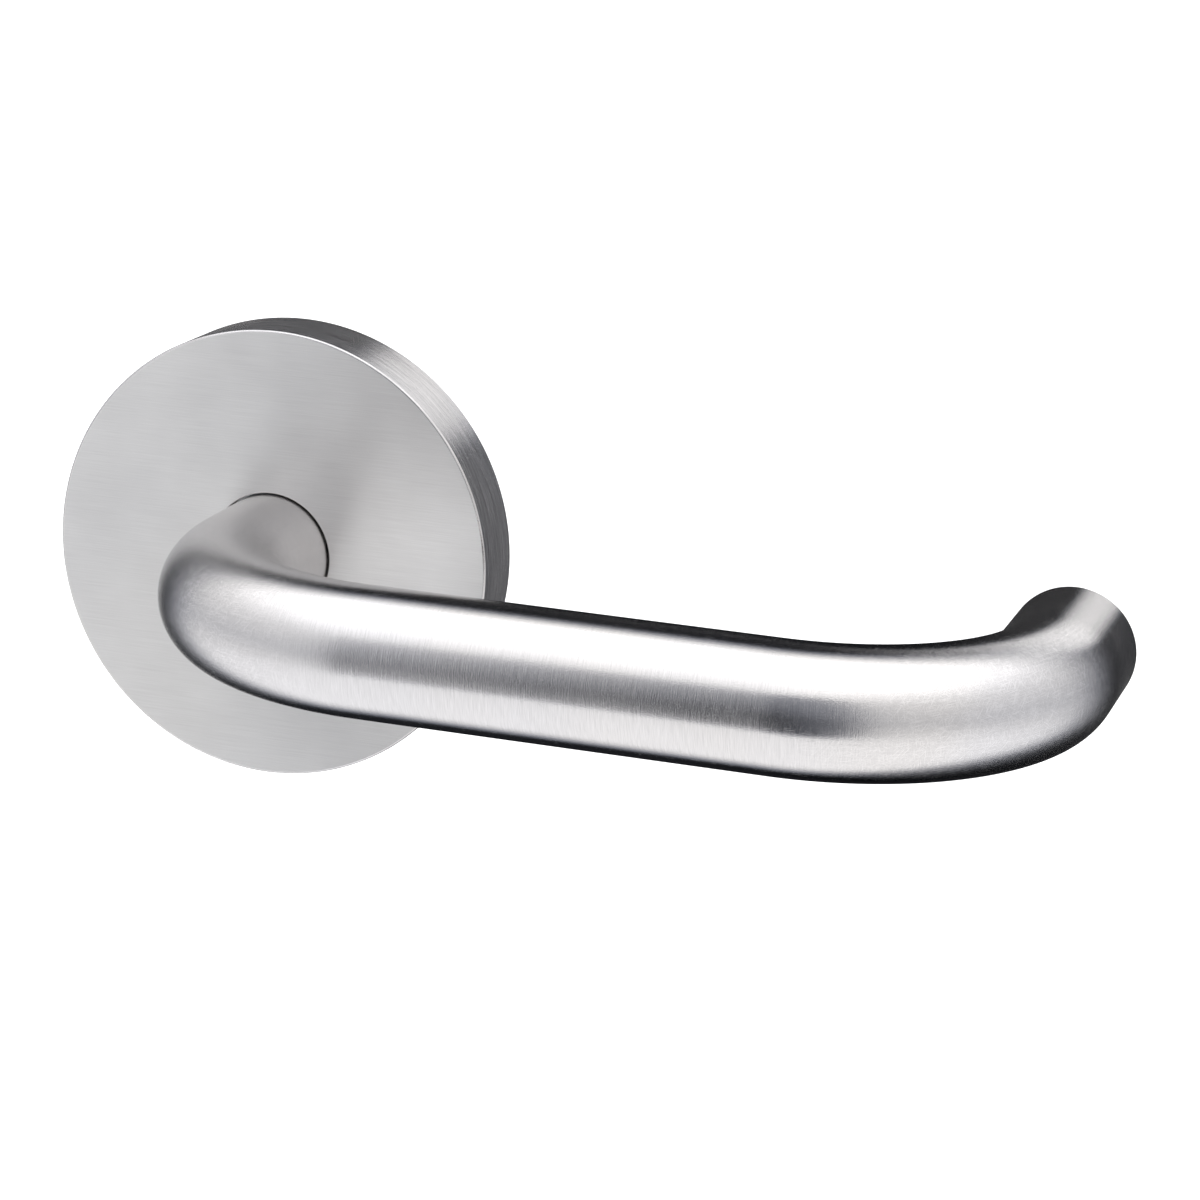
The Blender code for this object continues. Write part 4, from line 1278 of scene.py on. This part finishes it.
def tent_rear(x, y, z, upper):
    """How the tent fades out behind the handle."""
    level = maths("SUBTRACT", 1.0, product(z, z))
    shift = product(remap(x, *REAR_SHIFT), level)
    behind = weigh(((y, 1.0), (z, REAR_TILT), (upper, REAR_TILT_UPPER)))
    return remap(maths("SUBTRACT", behind, shift), *REAR_FADE)


def off_middle(value, middle, half, power):
    """How far a value is from the middle, against the half width, to a power."""
    offset = maths("DIVIDE", maths("SUBTRACT", value, middle), half)
    return maths("POWER", maths("ABSOLUTE", offset), power)


def lens_opening(x, y, z):
    """1 in the opening in front of the handle and 0 outside it."""
    forward = maths("MAXIMUM", product(y, -1.0), NEAR_ZERO)
    aside = off_middle(maths("DIVIDE", x, forward), *OPENING_ACROSS)
    inside = remap(maths("ADD", aside, off_middle(z, *OPENING_UP)), *OPENING_FADE)
    return product(inside, remap(y, *OPENING_FRONT))


def make_world():
    """A white light tent: bright above, pale at the sides, dark behind and at its opening."""
    world = bpy.data.worlds.new("light_tent")
    bpy.context.scene.world = world
    world.use_nodes = True
    direction = node("ShaderNodeTexCoord", {}, world.node_tree).outputs["Generated"]
    x, y, z = node("ShaderNodeSeparateXYZ", {0: direction}).outputs
    upper = maths("MAXIMUM", z, 0.0)
    tent = product(tent_height(z), tent_rear(x, y, z, upper))
    dim = maths("MULTIPLY_ADD", upper, OPENING_LIFT, remap(x, *OPENING_LEVEL))
    tent = mix_value(lens_opening(x, y, z), tent, dim)
    tent = product(tent, spot(direction, CARD_AIM, CARD_REACH, 1.0, CARD_LEVEL))
    tent = mix_value(spot(direction, LAMP_AIM, LAMP_REACH), tent, LAMP_LEVEL)
    tint = mix_colour(remap(tent, 0.0, 1.0), SHADOW_TINT, WHITE)
    feed(world.node_tree.nodes["Background"], {"Color": tint, "Strength": tent})


def make_top_light():
    """One wide soft lamp overhead, which strengthens the tent's roof."""
    data = bpy.data.lights.new("light_top", "AREA")
    data.shape = "DISK"
    data.size = TOP_LIGHT_SIZE
    data.energy = TOP_LIGHT_POWER
    light = bpy.data.objects.new("light_top", data)
    bpy.context.scene.collection.objects.link(light)
    light.location = (0.0, TOP_LIGHT_Y, TOP_LIGHT_Z)


def make_camera():
    """A long lens in front of the lever, a little above it, to its right and slightly rolled."""
    back = facing_to(*CAMERA_AIM)
    azimuth = math.radians(CAMERA_AIM[0])
    level_right = Vector((math.cos(azimuth), math.sin(azimuth), 0.0))
    level_up = back.cross(level_right)
    right = math.cos(CAMERA_ROLL) * level_right + math.sin(CAMERA_ROLL) * level_up
    up = -math.sin(CAMERA_ROLL) * level_right + math.cos(CAMERA_ROLL) * level_up
    data = bpy.data.cameras.new("camera")
    data.lens = CAMERA_LENS
    data.sensor_width = CAMERA_SENSOR
    data.clip_start = CAMERA_NEAR
    data.clip_end = CAMERA_FAR
    camera = bpy.data.objects.new("camera", data)
    bpy.context.scene.collection.objects.link(camera)
    turn = Matrix((right, up, back)).transposed().to_4x4()
    place = AIM_RIGHT * right + AIM_UP * up + CAMERA_DISTANCE * back
    camera.matrix_world = Matrix.Translation(place) @ turn
    bpy.context.scene.camera = camera


make_camera()
make_stage()
make_world()
make_top_light()
make_cover()
make_tube()
make_end_cap()
make_hub()
make_spindle()
make_grub_screw()
make_cam()
make_washer()
make_retaining_ring()
make_bolts()
make_wood_screws()
make_plate()
make_pins()
make_bush()
make_snap_ring()
make_spring()

bpy.context.scene.view_settings.view_transform = "Standard"
